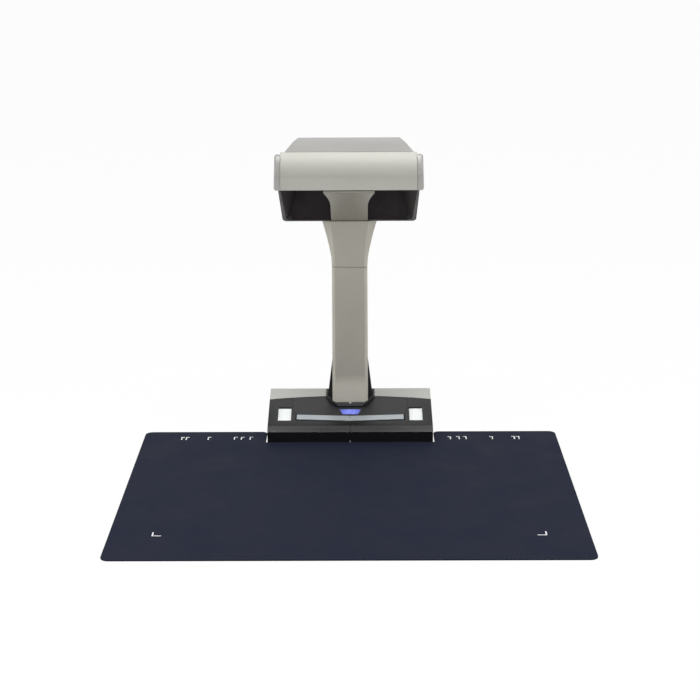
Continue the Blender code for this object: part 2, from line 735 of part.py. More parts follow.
def make_buttons(panel, scan_axis, stop_axis):
    front_centre, front_end = bar_edge(BAR_FRONT_Y, 0)
    bar = [
        front_centre,
        front_end,
        (front_end[0], front_end[1] + BAR_DEPTH),
        (0, front_centre[1] + BAR_DEPTH),
        (-front_end[0], front_end[1] + BAR_DEPTH),
        (-front_end[0], front_end[1]),
    ]
    offset = scan_axis.location.y
    bar = [(x, s - offset) for x, s in bar]
    mesh = prism(bar, BAR_PROUD - BAR_HEIGHT, BAR_PROUD)
    part("scan_button", mesh, material_of("button_silver"), scan_axis)
    rear = along(STOP_FRONT_Y) + STOP_DEPTH
    offset = stop_axis.location.y
    outline = [(x, s - offset) for x, s in stop_outline(0, rear)]
    mesh = prism(outline, -STOP_SKIRT, COLLAR_HEIGHT)
    key = part("stop_button", mesh, material_of("key_black"), stop_axis)
    front = along(STOP_FRONT_Y) - offset
    side_cut = [
        (front - FIT, STOP_BROW),
        (front + STOP_SLOPE, COLLAR_HEIGHT - FIT),
        (front + STOP_SLOPE, COLLAR_HEIGHT + BASE_WALL),
        (front - FIT, COLLAR_HEIGHT + BASE_WALL),
    ]
    combine(key, prism(side_cut, -STOP_WIDTH, STOP_WIDTH, axis="X"), stop_axis)
    lens = prism(light_outline(0), -BASE_WALL, FIT)
    part("power_light", lens, material_of("light_blue"), panel)


def make_collar(scanner, panel):
    front = along(STOP_FRONT_Y)
    rear = along(ARM_REAR_Y + ARM_GAP) + COLLAR_WALL + COLLAR_HEIGHT * math.sin(PANEL_SLOPE)
    fin = FIN_WIDTH / 2 + ARM_GAP + COLLAR_WALL
    shoulder = ARM_FOOT_WIDTH / 2 + ARM_GAP + COLLAR_WALL
    right = [
        (STOP_WIDTH / 2 + BUTTON_GAP + COLLAR_WALL / 2, front),
        (shoulder, along(ARM_FRONT_Y + ARM_CHAMFER_DEPTH)),
        (fin, along(ARM_SPLIT_Y)),
        (fin, rear),
    ]
    mesh = prism(mirrored(right), FIT, COLLAR_HEIGHT)
    collar = part("arm_collar", mesh, material_of("panel_black"), panel)
    slope = [
        (front - FIT, 0),
        (rear + FIT, 0),
        (rear + FIT, COLLAR_REAR_HEIGHT),
        (front - FIT, COLLAR_HEIGHT),
    ]
    combine(collar, prism(slope, -fin - FIT, fin + FIT, axis="X"), panel, "INTERSECT")
    combine(collar, prism(arm_opening(ARM_GAP), 0, BASE_DEPTH), scanner)
    stop_rear = along(ARM_FRONT_Y) + BASE_WALL
    combine(collar, prism(stop_outline(BUTTON_GAP, stop_rear), 0, 2 * COLLAR_HEIGHT), panel)


def socket_heights(height):
    low = board_height() + BOARD_THICKNESS + FIT
    return low, low + height


def board_height():
    return BALLAST_TOP + MAIN_BOARD_LIFT + FIT


def make_rear_cover(scanner):
    half = BASE_WIDTH / 2
    mesh = prism(base_profile(), -half, half, axis="X")
    cover = part("rear_cover", mesh, material_of("silver"), scanner)
    combine(cover, prism(base_cavity(), BASE_WALL - half, half - BASE_WALL, axis="X"), scanner)
    combine(cover, prism(split_region(FIT, -BASE_WALL), -BASE_WALL, BASE_DEPTH), scanner)
    combine(cover, prism(arm_opening(ARM_GAP), 0, BASE_DEPTH), scanner)
    for offset, width, height in ((USB_OFFSET, USB_WIDTH, USB_HEIGHT), (DC_OFFSET, DC_WIDTH, DC_HEIGHT)):
        low, high = socket_heights(height)
        window = span(
            (-offset - width / 2 - FIT, BASE_DEPTH - 2 * BASE_WALL, low - FIT),
            (-offset + width / 2 + FIT, BASE_DEPTH + BASE_WALL, high + FIT),
        )
        combine(cover, window, scanner)


def make_floor(scanner):
    half = BASE_WIDTH / 2 - BASE_WALL - FIT
    front = BASE_WALL + FIT
    rear = BASE_DEPTH - BASE_WALL - FIT
    low = FOOT_HEIGHT + FIT
    mesh = span((-half, front, low), (half, rear, FLOOR_TOP))
    tray = part("base_floor", mesh, material_of("panel_black"), scanner)
    margin = BALLAST_MARGIN
    plate = span(
        (-half + margin, front + margin, FLOOR_TOP + FIT),
        (half - margin, rear - margin / 2, BALLAST_TOP),
    )
    ballast = part("ballast_plate", plate, material_of("steel"), scanner)
    for side_x in (-1, 1):
        for side_y in (-1, 1):
            x = -MAIN_BOARD_OFFSET + side_x * (MAIN_BOARD_WIDTH / 2 - POST_SIZE)
            y = main_board_y() + side_y * (MAIN_BOARD_DEPTH / 2 - POST_SIZE)
            post = span(
                (x - POST_SIZE / 2, y - POST_SIZE / 2, BALLAST_TOP - FIT),
                (x + POST_SIZE / 2, y + POST_SIZE / 2, BALLAST_TOP + MAIN_BOARD_LIFT),
            )
            combine(ballast, post, scanner, "UNION")
    for place, x, y in corner_places(FOOT_INSET):
        profile = [(0, FOOT_HEIGHT), (FOOT_RADIUS, FOOT_HEIGHT), (FOOT_TIP_RADIUS, 0), (0, 0)]
        turned(f"foot_{place}", profile, material_of("rubber"), scanner, (x, y, 0))
    for place, x, y in corner_places(FLOOR_SCREW_INSET):
        hole = cylinder(SCREW_RADIUS + SCREW_FIT, low - FIT, FLOOR_TOP + FIT, centre=(x, y), steps=16)
        combine(tray, hole, scanner)
        recess = cylinder(
            SCREW_HEAD_RADIUS + SCREW_FIT, low - FIT, low + SCREW_HEAD_HEIGHT, centre=(x, y), steps=16
        )
        combine(tray, recess, scanner)
        blind = cylinder(
            SCREW_RADIUS + SCREW_FIT, FLOOR_TOP, low + SCREW_LENGTH + FIT, centre=(x, y), steps=16
        )
        combine(ballast, blind, scanner)
        make_screw(f"floor_screw_{place}", scanner, (x, y, low), (math.pi, 0, 0))


def make_screw(name, parent, location, rotation):
    """Flat-headed screw whose head's outer face is at its origin and whose shank runs along its -Z."""
    profile = [
        (0, 0),
        (SCREW_HEAD_RADIUS, 0),
        (SCREW_HEAD_RADIUS, FIT - SCREW_HEAD_HEIGHT),
        (SCREW_RADIUS, FIT - SCREW_HEAD_HEIGHT),
        (SCREW_RADIUS, -SCREW_LENGTH),
        (0, -SCREW_LENGTH),
    ]
    obj = turned(name, profile, material_of("steel"), parent, location, rotation)
    obj.modifiers["turn"].steps = 16
    obj.modifiers["turn"].render_steps = 16


def corner_places(offset):
    """Names and places of four fixings, one near each corner of the base."""
    x = BASE_WIDTH / 2 - offset
    return [
        ("front_left", -x, offset),
        ("front_right", x, offset),
        ("rear_left", -x, BASE_DEPTH - offset),
        ("rear_right", x, BASE_DEPTH - offset),
    ]


def main_board_y():
    return BASE_DEPTH - BASE_WALL - FIT - MAIN_BOARD_DEPTH / 2


def make_electronics(scanner, panel):
    y = main_board_y()
    low = board_height()
    board = span(
        (-MAIN_BOARD_OFFSET - MAIN_BOARD_WIDTH / 2, y - MAIN_BOARD_DEPTH / 2, low),
        (-MAIN_BOARD_OFFSET + MAIN_BOARD_WIDTH / 2, y + MAIN_BOARD_DEPTH / 2, low + BOARD_THICKNESS),
    )
    part("main_board", board, material_of("board_green"), scanner)
    mouth = BASE_DEPTH - FIT
    low, high = socket_heights(USB_HEIGHT)
    half = USB_WIDTH / 2
    shell = span((-USB_OFFSET - half, mouth - USB_DEPTH, low), (-USB_OFFSET + half, mouth, high))
    usb = part("usb_port", shell, material_of("steel"), scanner)
    hollow = span(
        (-USB_OFFSET - half + USB_WALL, mouth - USB_DEPTH + USB_WALL, low + USB_WALL),
        (-USB_OFFSET + half - USB_WALL, mouth + USB_WALL, high - USB_WALL),
    )
    combine(usb, hollow, scanner)
    middle = (low + high) / 2
    tongue = span(
        (-USB_OFFSET - USB_TONGUE / 2, mouth - USB_DEPTH + USB_WALL / 2, middle - USB_TONGUE / 2),
        (-USB_OFFSET + USB_TONGUE / 2, mouth - USB_RECESS, middle + USB_TONGUE / 2),
    )
    combine(usb, tongue, scanner, "UNION")
    low, high = socket_heights(DC_HEIGHT)
    half = DC_WIDTH / 2
    body = span((-DC_OFFSET - half, mouth - DC_DEPTH, low), (-DC_OFFSET + half, mouth, high))
    inlet = part("dc_inlet", body, material_of("component_black"), scanner)
    middle = (-DC_OFFSET, (low + high) / 2)
    bore = cylinder(DC_BORE, mouth - DC_BORE_DEPTH, mouth + DC_BORE, "Y", middle, 24)
    combine(inlet, bore, scanner)
    pin = cylinder(DC_PIN, mouth - DC_BORE_DEPTH - DC_PIN, mouth - DC_BORE, "Y", middle, 16)
    combine(inlet, pin, scanner, "UNION")
    make_panel_board(panel)


def make_panel_board(panel):
    top = -PANEL_BOARD_DROP
    front = along(BAR_FRONT_Y)
    rear = along(STOP_FRONT_Y) + STOP_DEPTH / 2
    half = PANEL_BOARD_WIDTH / 2
    board = span((-half, front, top - BOARD_THICKNESS), (half, rear, top))
    part("panel_board", board, material_of("board_green"), panel)
    scan_gap = BAR_HEIGHT - BAR_PROUD + BUTTON_TRAVEL + FIT / 2
    stop_gap = STOP_SKIRT + BUTTON_TRAVEL + FIT / 2
    bar_middle = along(BAR_FRONT_Y) + BAR_DEPTH / 2
    bar_rise = BAR_VEE * SWITCH_SPACING / BAR_LENGTH
    stop_middle = along(STOP_FRONT_Y) + STOP_DEPTH / 2 - SWITCH_SIZE / 2
    places = (
        ("scan_switch_left", -SWITCH_SPACING / 2, bar_middle + bar_rise, scan_gap),
        ("scan_switch_right", SWITCH_SPACING / 2, bar_middle + bar_rise, scan_gap),
        ("stop_switch", 0, stop_middle, stop_gap),
        ("power_led", 0, along(LIGHT_FRONT_Y) + LIGHT_DEPTH / 2 - SWITCH_SIZE / 4, BASE_WALL + FIT),
    )
    for name, x, s, gap in places:
        size = SWITCH_SIZE if "switch" in name else SWITCH_SIZE / 2
        body = span((x - size / 2, s - size / 2, top + FIT), (x + size / 2, s + size / 2, -gap))
        finish_name = "component_black" if "switch" in name else "lamp_white"
        part(name, body, material_of(finish_name), panel)


def channel(half, facet, front, chamfer, back, wall):
    """Plan section of a chamfered channel that is open at the back."""
    outer = [(half, back), (half, front + chamfer), (facet, front)]
    lean = wall / 2
    inner = [
        (facet - lean, front + math.copysign(wall, back - front)),
        (half - wall, front + chamfer + math.copysign(lean, back - front)),
        (half - wall, back),
    ]
    left_outer = [(-x, y) for x, y in reversed(outer)]
    left_inner = [(-x, y) for x, y in reversed(inner)]
    return outer + left_outer + left_inner + inner


def neck_share(z):
    """How far the neck has flared at a height, from 0 to 1."""
    start = SEAM_HEIGHT + NECK_FLARE_START
    return max(0.0, (z - start) / (NECK_TOP - start)) ** NECK_FLARE_POWER


def blend(low, high, share):
    return low + (high - low) * share


def at_height(section, z):
    return [(x, y, z) for x, y in section]


def neck_heights(low):
    return [blend(low, NECK_TOP, i / NECK_STEPS) for i in range(NECK_STEPS + 1)]


def make_arm_covers(scanner):
    rings = []
    for z, width in ((ARM_COVER_BOTTOM, ARM_FOOT_WIDTH), (SEAM_HEIGHT, ARM_WIDTH)):
        half = width / 2
        facet = half - ARM_CHAMFER_WIDTH
        section = channel(half, facet, ARM_FRONT_Y, ARM_CHAMFER_DEPTH, ARM_SPLIT_Y, ARM_WALL)
        rings.append(at_height(section, z))
    part("arm_front_cover", loft(rings), material_of("silver"), scanner)

    rings = []
    for z in neck_heights(SEAM_HEIGHT + FIT):
        share = neck_share(z)
        half = blend(ARM_WIDTH, NECK_WIDTH, share) / 2
        facet = half - blend(ARM_CHAMFER_WIDTH, NECK_CHAMFER_WIDTH, share)
        chamfer = blend(ARM_CHAMFER_DEPTH, NECK_CHAMFER_DEPTH, share)
        section = channel(half, facet, ARM_FRONT_Y, chamfer, ARM_SPLIT_Y, ARM_WALL)
        rings.append(at_height(section, z))
    part("neck_cover", loft(rings), material_of("silver"), scanner)

    rings = []
    front = ARM_SPLIT_Y + FIT
    levels = [
        (ARM_COVER_BOTTOM, FIN_WIDTH),
        (FIN_BOTTOM, FIN_WIDTH),
        (FIN_BOTTOM + FIN_HEIGHT, ARM_FOOT_WIDTH),
    ]
    levels += [(z, blend(ARM_WIDTH, NECK_WIDTH, neck_share(z))) for z in neck_heights(SEAM_HEIGHT)]
    for z, width in levels:
        half = width / 2
        facet = half - ARM_CHAMFER_WIDTH
        section = channel(half, facet, ARM_REAR_Y, -ARM_CHAMFER_DEPTH, front, ARM_WALL)
        rings.append(at_height(section, z))
    spine = part("arm_rear_cover", loft(rings), material_of("hood_black"), scanner)
    close_fins(spine, scanner, front)


def close_fins(spine, scanner, front):
    """Front faces of the fins, between the arm's side and the flared edge of the spine."""
    inner = ARM_WIDTH / 2 - ARM_WALL
    fin = FIN_WIDTH / 2 - ARM_WALL / 2
    top = FIN_BOTTOM + FIN_HEIGHT
    for side in (-1, 1):
        outline = [
            (side * inner, ARM_COVER_BOTTOM + FIT),
            (side * fin, ARM_COVER_BOTTOM + FIT),
            (side * fin, FIN_BOTTOM),
            (side * (inner + ARM_WALL / 2), top),
            (side * inner, top),
        ]
        combine(spine, prism(outline, front, front + ARM_WALL, axis="Y"), scanner, "UNION")


def make_arm_frame(scanner):
    half = ARM_FRAME_WIDTH / 2
    back = ARM_WEB_Y + ARM_FRAME_DEPTH
    inner = half - FRAME_WALL
    outline = [
        (half, back),
        (half, ARM_WEB_Y),
        (-half, ARM_WEB_Y),
        (-half, back),
        (-inner, back),
        (-inner, ARM_WEB_Y + FRAME_WALL),
        (inner, ARM_WEB_Y + FRAME_WALL),
        (inner, back),
    ]
    foot = BALLAST_TOP + FIT
    frame = part("arm_frame", prism(outline, foot, ARM_FRAME_TOP), material_of("steel"), scanner)
    flange = span(
        (-ARM_FLANGE_WIDTH / 2, ARM_WEB_Y - FIT, foot),
        (ARM_FLANGE_WIDTH / 2, back + FIT, foot + ARM_FLANGE_THICKNESS),
    )
    combine(frame, flange, scanner, "UNION")
    notch_half = 2 * HARNESS_RADIUS
    notch = span(
        (-notch_half, ARM_WEB_Y - FIT, ARM_FRAME_TOP - CABLE_NOTCH),
        (notch_half, ARM_WEB_Y + 2 * FRAME_WALL, ARM_FRAME_TOP + FIT),
    )
    combine(frame, notch, scanner)
    for x, z in frame_screw_places():
        hole = cylinder(
            SCREW_RADIUS + SCREW_FIT, ARM_WEB_Y - FIT, ARM_WEB_Y + 2 * FRAME_WALL, "Y", (x, z), 16
        )
        combine(frame, hole, scanner)


def frame_screw_places():
    middle = (FRAME_BOTTOM + FRAME_TOP) / 2
    return [(-FRAME_SCREW_SPACING / 2, middle), (FRAME_SCREW_SPACING / 2, middle)]


def make_harness(scanner):
    """Cable from the main board, up inside the arm frame and out at its top to the head board."""
    lift = HARNESS_RADIUS + FIT
    channel_y = ARM_WEB_Y + FRAME_WALL + lift
    board_x = -MAIN_BOARD_OFFSET + MAIN_BOARD_WIDTH / 2
    board_z = board_height() + BOARD_THICKNESS + lift
    turn_y = ARM_WEB_Y + ARM_FRAME_DEPTH + lift + 2 * FIT
    socket_front_y = BASE_DEPTH - FIT - USB_DEPTH
    start_y = socket_front_y - 2 * HARNESS_RADIUS
    route = [
        (board_x - HARNESS_BEND, start_y, board_z),
        (board_x, start_y, board_z + FIT),
        (-ARM_FRAME_WIDTH / 2 - HARNESS_BEND, turn_y, board_z),
        (-HARNESS_BEND, turn_y, board_z + HARNESS_BEND / 2),
        (0, channel_y + HARNESS_BEND / 2, board_z + 3 * HARNESS_BEND),
        (0, channel_y, board_z + 6 * HARNESS_BEND),
        (0, channel_y, ARM_FRAME_TOP - 3 * HARNESS_BEND),
        (0, channel_y, ARM_FRAME_TOP - HARNESS_BEND),
        (0, ARM_WEB_Y, ARM_FRAME_TOP),
        (0, ARM_WEB_Y - HARNESS_BEND, ARM_FRAME_TOP - HARNESS_BEND / 2),
        (0, ARM_WEB_Y - 2 * HARNESS_BEND, ARM_FRAME_TOP - 1.5 * HARNESS_BEND),
        (0, ARM_WEB_Y - 2 * HARNESS_BEND, head_board_top() + 2 * FIT),
    ]
    curve = bpy.data.curves.new("harness", "CURVE")
    curve.dimensions = "3D"
    curve.bevel_depth = HARNESS_RADIUS
    curve.bevel_resolution = 2
    curve.use_fill_caps = True
    points = smooth_route(route, HARNESS_STEPS)
    spline = curve.splines.new("POLY")
    spline.points.add(len(points) - 1)
    for point, place in zip(spline.points, points):
        point.co = (*place, 1)
    part("harness", curve, material_of("component_black"), scanner)


def catmull_rom(p, q, r, s, t):
    """Value between q and r on a curve that also heeds the values before and after them."""
    linear = r - p
    square = 2 * p - 5 * q + 4 * r - s
    cube = 3 * q - p - 3 * r + s
    return (2 * q + linear * t + square * t**2 + cube * t**3) / 2


def smooth_route(route, steps):
    """Points of a smooth curve through a route."""
    points = []
    ends = [route[0], *route, route[-1]]
    for near in zip(ends, ends[1:], ends[2:], ends[3:]):
        for k in range(steps):
            points.append(tuple(catmull_rom(*values, k / steps) for values in zip(*near)))
    points.append(route[-1])
    return points


def visor_outline(inset_by, drop=0):
    """Front curve of the head, flared lip first, moved in by a distance; its end may be a drop lower."""
    radius = VISOR_RADIUS - inset_by
    sweep = math.acos(VISOR_RADIUS * math.cos(VISOR_SWEEP) / radius)
    sweep = math.asin(math.sin(sweep) - drop / radius)
    points = [(-HEAD_OVERHANG + inset_by, LIP_HEIGHT)]
    for i in range(VISOR_STEPS + 1):
        angle = sweep * i / VISOR_STEPS
        points.append(
            (VISOR_CENTRE_Y - radius * math.cos(angle), CREASE_HEIGHT + radius * math.sin(angle))
        )
    return points


def make_visor(scanner):
    outline = visor_outline(0) + list(reversed(visor_outline(VISOR_WALL)))
    half = VISOR_WIDTH / 2
    smooth(part("visor", prism(outline, -half, half, axis="X"), material_of("silver"), scanner))


def make_side_caps(scanner):
    front = visor_outline(CAP_SETBACK, 2 * CAP_TOP_DROP)
    top = front[-1][1] + CAP_TOP_DROP
    outline = front + [
        (front[-1][0] + 2 * CAP_TOP_DROP, top),
        (CAP_REAR_Y - CAP_RETURN, rim_height(CAP_REAR_Y) + CAP_TOP_DROP),
        (CAP_REAR_Y, rim_height(CAP_REAR_Y) - CAP_RETURN),
        (CAP_REAR_Y, LIP_HEIGHT + CAP_RETURN / 2),
        (CAP_REAR_Y - CAP_RETURN / 2, LIP_HEIGHT),
    ]
    pocket = visor_outline(VISOR_WALL) + [
        (TOP_FRONT_Y - FIT, TOTAL_HEIGHT),
        (CAP_REAR_Y + CAP_RETURN, TOTAL_HEIGHT),
        (CAP_REAR_Y + CAP_RETURN, LIP_HEIGHT - CAP_RETURN),
        (HOUSING_FRONT_Y - FIT, LIP_HEIGHT - CAP_RETURN),
    ]
    shape = (
        (VISOR_WIDTH / 2 + FIT, 0, outline),
        (CAP_WIDTH / 2 - CAP_ROUNDING, CAP_TAPER, outline),
        (CAP_WIDTH / 2, CAP_TAPER, inset(outline, CAP_ROUNDING)),
    )
    for name, side in (("left", -1), ("right", 1)):
        rings = [
            [(side * (x - taper * (z - LIP_HEIGHT) / (top - LIP_HEIGHT)), y, z) for y, z in ring]
            for x, taper, ring in shape
        ]
        cap = part(f"side_cap_{name}", loft(rings), material_of("head_grey"), scanner)
        ends = sorted((side * (VISOR_WIDTH / 2 - FIT), side * (HOUSING_WIDTH / 2 + FIT)))
        pocket_cut = combine(cap, prism(pocket, *ends, axis="X"), scanner)
        pocket_cut.solver = "MANIFOLD"


def make_housing(scanner):
    bottom = HOUSING_BOTTOM
    front_y = ARM_FRONT_Y - FIT
    outline = [
        (HOUSING_FRONT_Y, LIP_HEIGHT + FIT),
        (front_y, bottom),
        (HOUSING_REAR_Y - HOUSING_CORNER, bottom),
        (HOUSING_REAR_Y, bottom + HOUSING_CORNER),
        (HOUSING_REAR_Y, rim_height(HOUSING_REAR_Y) - FIT),
        (TOP_FRONT_Y, rim_height(TOP_FRONT_Y) - FIT),
        (HOUSING_FRONT_Y, CREASE_HEIGHT),
    ]
    half = HOUSING_WIDTH / 2
    mesh = prism(outline, -half, half, axis="X")
    housing = part("head_housing", mesh, material_of("hood_black"), scanner)
    reach = half + FIT
    front_view = rounded(
        [
            (reach, TOTAL_HEIGHT, 0),
            (-reach, TOTAL_HEIGHT, 0),
            (-reach, bottom - FIT, HOUSING_CORNER),
            (reach, bottom - FIT, HOUSING_CORNER),
        ]
    )
    sides = prism(front_view, -HEAD_OVERHANG, HOUSING_REAR_Y + FIT, axis="Y")
    combine(housing, sides, scanner, "INTERSECT")
    combine(housing, scoop_mesh(), scanner)
    wall = HOUSING_WALL
    scoop_slope = (SCOOP_FOOT_Y - SCOOP_TOP_Y) / (SCOOP_TOP_HEIGHT - bottom - SCOOP_FOOT_RISE)
    floor_rear = SCOOP_TOP_Y + HOOD_SKIN
    foot_y = floor_rear + scoop_slope * (SCOOP_TOP_HEIGHT - bottom - wall)
    chamber = [
        (HOUSING_FRONT_Y + wall, scoop_ceiling(HOUSING_FRONT_Y) + HOOD_SKIN),
        (floor_rear, scoop_ceiling(SCOOP_TOP_Y) + HOOD_SKIN),
        (foot_y, bottom + wall),
        (HOUSING_REAR_Y - HOUSING_CORNER - wall / 2, bottom + wall),
        (HOUSING_REAR_Y - wall, bottom + HOUSING_CORNER + wall / 2),
        (HOUSING_REAR_Y - wall, TOTAL_HEIGHT),
        (TOP_FRONT_Y + wall, TOTAL_HEIGHT),
        (HOUSING_FRONT_Y + wall, CREASE_HEIGHT),
    ]
    combine(housing, prism(chamber, wall - half, half - wall, axis="X"), scanner)
    slot = span(
        (-SLOT_WIDTH / 2, SLOT_FRONT_Y, SCOOP_TOP_HEIGHT - wall),
        (SLOT_WIDTH / 2, SLOT_REAR_Y, LIP_HEIGHT + 2 * wall),
    )
    combine(housing, slot, scanner)
    arm_half = ARM_FRAME_WIDTH / 2 + ARM_GAP
    passage = span(
        (-arm_half, ARM_WEB_Y - ARM_GAP, bottom - wall),
        (arm_half, ARM_WEB_Y + ARM_FRAME_DEPTH + ARM_GAP, bottom + 2 * wall),
    )
    combine(housing, passage, scanner)
    saddle_half = SADDLE_WIDTH / 2 + 2 * FIT
    seat = span(
        (-saddle_half, SCOOP_FOOT_Y - 4 * wall, bottom - wall),
        (saddle_half, ARM_FRONT_Y + FIT, bottom + SCOOP_FOOT_RISE),
    )
    combine(housing, seat, scanner)


def scoop_mesh():
    """Hollow under the hood: a wide mouth that narrows to the back wall."""
    lip = (HOUSING_FRONT_Y, LIP_HEIGHT)
    crease = (ARM_FRONT_Y - FIT, HOUSING_BOTTOM)
    run = math.hypot(crease[0] - lip[0], crease[1] - lip[1])
    step = ((crease[0] - lip[0]) / run, (crease[1] - lip[1]) / run)
    out = (step[1], -step[0])
    reach = SCOOP_LEDGE

    def mouth(distance):
        return lip[0] + step[0] * distance + out[0] * reach, lip[1] + step[1] * distance + out[1] * reach

    half = HOUSING_WIDTH / 2 - HOUSING_WALL
    foot_height = HOUSING_BOTTOM + SCOOP_FOOT_RISE
    foot_half = SCOOP_FOOT_WIDTH / 2 - SCOOP_CORNER
    back_height = SCOOP_TOP_HEIGHT - foot_height
    corner_half = blend(SCOOP_FOOT_WIDTH, SCOOP_TOP_WIDTH, SCOOP_CORNER / back_height) / 2
    front = [(half, *lip)]
    back = [(SCOOP_TOP_WIDTH / 2, SCOOP_TOP_Y, SCOOP_TOP_HEIGHT)]
    for i in range(SCOOP_CORNER_STEPS + 1):
        angle = math.radians(90) * i / SCOOP_CORNER_STEPS
        rise = SCOOP_CORNER * (1 - math.sin(angle))
        x = half - SCOOP_CORNER * (1 - math.cos(angle))
        front.append((x, *mouth(run - SCOOP_LEDGE - rise)))
        y = blend(SCOOP_FOOT_Y, SCOOP_TOP_Y, rise / back_height)
        back.append((blend(foot_half, corner_half, math.cos(angle)), y, foot_height + rise))
    rings = []
    for ring in (front, back):
        rings.append(ring + [(-x, y, z) for x, y, z in reversed(ring)])
    return loft(rings)


def make_saddle(scanner):
    gap = 2 * FIT
    half = SADDLE_WIDTH / 2
    flare = []
    steps = 5
    for i in range(steps + 1):
        share = i / steps
        y = blend(SADDLE_FLARE_Y, SADDLE_FRONT_Y, share)
        flare.append((half + (SADDLE_FRONT_WIDTH - SADDLE_WIDTH) / 2 * share**2, y))
    outline = mirrored([(half, ARM_FRONT_Y)] + flare)
    saddle = part("neck_saddle", prism(outline, HOUSING_BOTTOM, LIP_HEIGHT), material_of("silver"), scanner)
    foot_height = HOUSING_BOTTOM + SCOOP_FOOT_RISE
    edge_y = SADDLE_FRONT_Y + 5 * SADDLE_EDGE
    side = [
        (ARM_FRONT_Y - gap, HOUSING_BOTTOM + gap),
        (SADDLE_FRONT_Y, SADDLE_FRONT_HEIGHT),
        (SADDLE_FRONT_Y, SADDLE_FRONT_HEIGHT + SADDLE_EDGE),
        (edge_y, scoop_ceiling(edge_y) - gap),
        (SCOOP_TOP_Y - gap, scoop_ceiling(SCOOP_TOP_Y) - gap),
        (SCOOP_FOOT_Y - gap, foot_height - gap),
    ]
    reach = SADDLE_FRONT_WIDTH
    combine(saddle, prism(side, -reach, reach, axis="X"), scanner, "INTERSECT")


def crown_half(y):
    """Half-width of the flat top of the head, which narrows to the rear edge."""
    share = min(1.0, (y - TOP_FRONT_Y) / (TOP_REAR_Y - TOP_FRONT_Y))
    return blend(TOP_FRONT_WIDTH, TOP_REAR_WIDTH, share) / 2


def cover_ring(y, top, inward):
    """Section of the top cover across the head, moved in by a wall."""
    half = HOUSING_WIDTH / 2 - inward
    rim = rim_height(y)
    shoulder = blend(rim, top, TOP_SHOULDER) - inward
    right = [
        (half, y, rim - inward),
        (half, y, shoulder),
        (crown_half(y) - inward, y, top - inward),
    ]
    return right + [(-x, y, z) for x, y, z in reversed(right)]


def make_top_cover(scanner):
    rear_top = TOTAL_HEIGHT - TOP_REAR_DROP
    rise_y = (TOP_FRONT_Y + TOP_CROWN_Y) / 2
    fall_y = blend(TOP_REAR_Y, HOUSING_REAR_Y, TOP_FALL_REACH)
    sections = [
        (TOP_FRONT_Y, TOP_FRONT_HEIGHT),
        (rise_y, blend(TOP_FRONT_HEIGHT, TOTAL_HEIGHT, TOP_RISE)),
        (TOP_CROWN_Y, TOTAL_HEIGHT),
        (TOP_REAR_Y, rear_top),
        (fall_y, blend(rear_top, RIM_REAR_HEIGHT, TOP_FALL)),
        (HOUSING_REAR_Y, RIM_REAR_HEIGHT + TOP_REAR_EDGE),
    ]
    rings = [cover_ring(y, top, 0) for y, top in sections]
    cover = part("head_top_cover", loft(rings), material_of("head_grey"), scanner)
    sections[0] = (TOP_FRONT_Y + TOP_WALL, TOP_FRONT_HEIGHT)
    sections[-1] = (HOUSING_REAR_Y - TOP_WALL, RIM_REAR_HEIGHT + TOP_REAR_EDGE + TOP_WALL)
    combine(cover, loft([cover_ring(y, top, TOP_WALL) for y, top in sections]), scanner)


def drum_outline(radius, flat):
    """Round section with a flat below, which carries the lens and the lamps."""
    start = math.asin(flat / radius)
    sweep = math.pi + 2 * start
    steps = 20
    return [
        (radius * math.cos(angle), radius * math.sin(angle))
        for angle in (-start + sweep * i / steps for i in range(steps + 1))
    ]


def lens_profile(radius):
    """Half section of a lens with two bowed faces, top to bottom."""
    steps = 3
    face = []
    for i in range(steps + 1):
        share = i / steps
        face.append((radius * share, GLASS_THICKNESS / 2 + GLASS_BOW * (1 - share**2)))
    return face + [(x, -z) for x, z in reversed(face)]


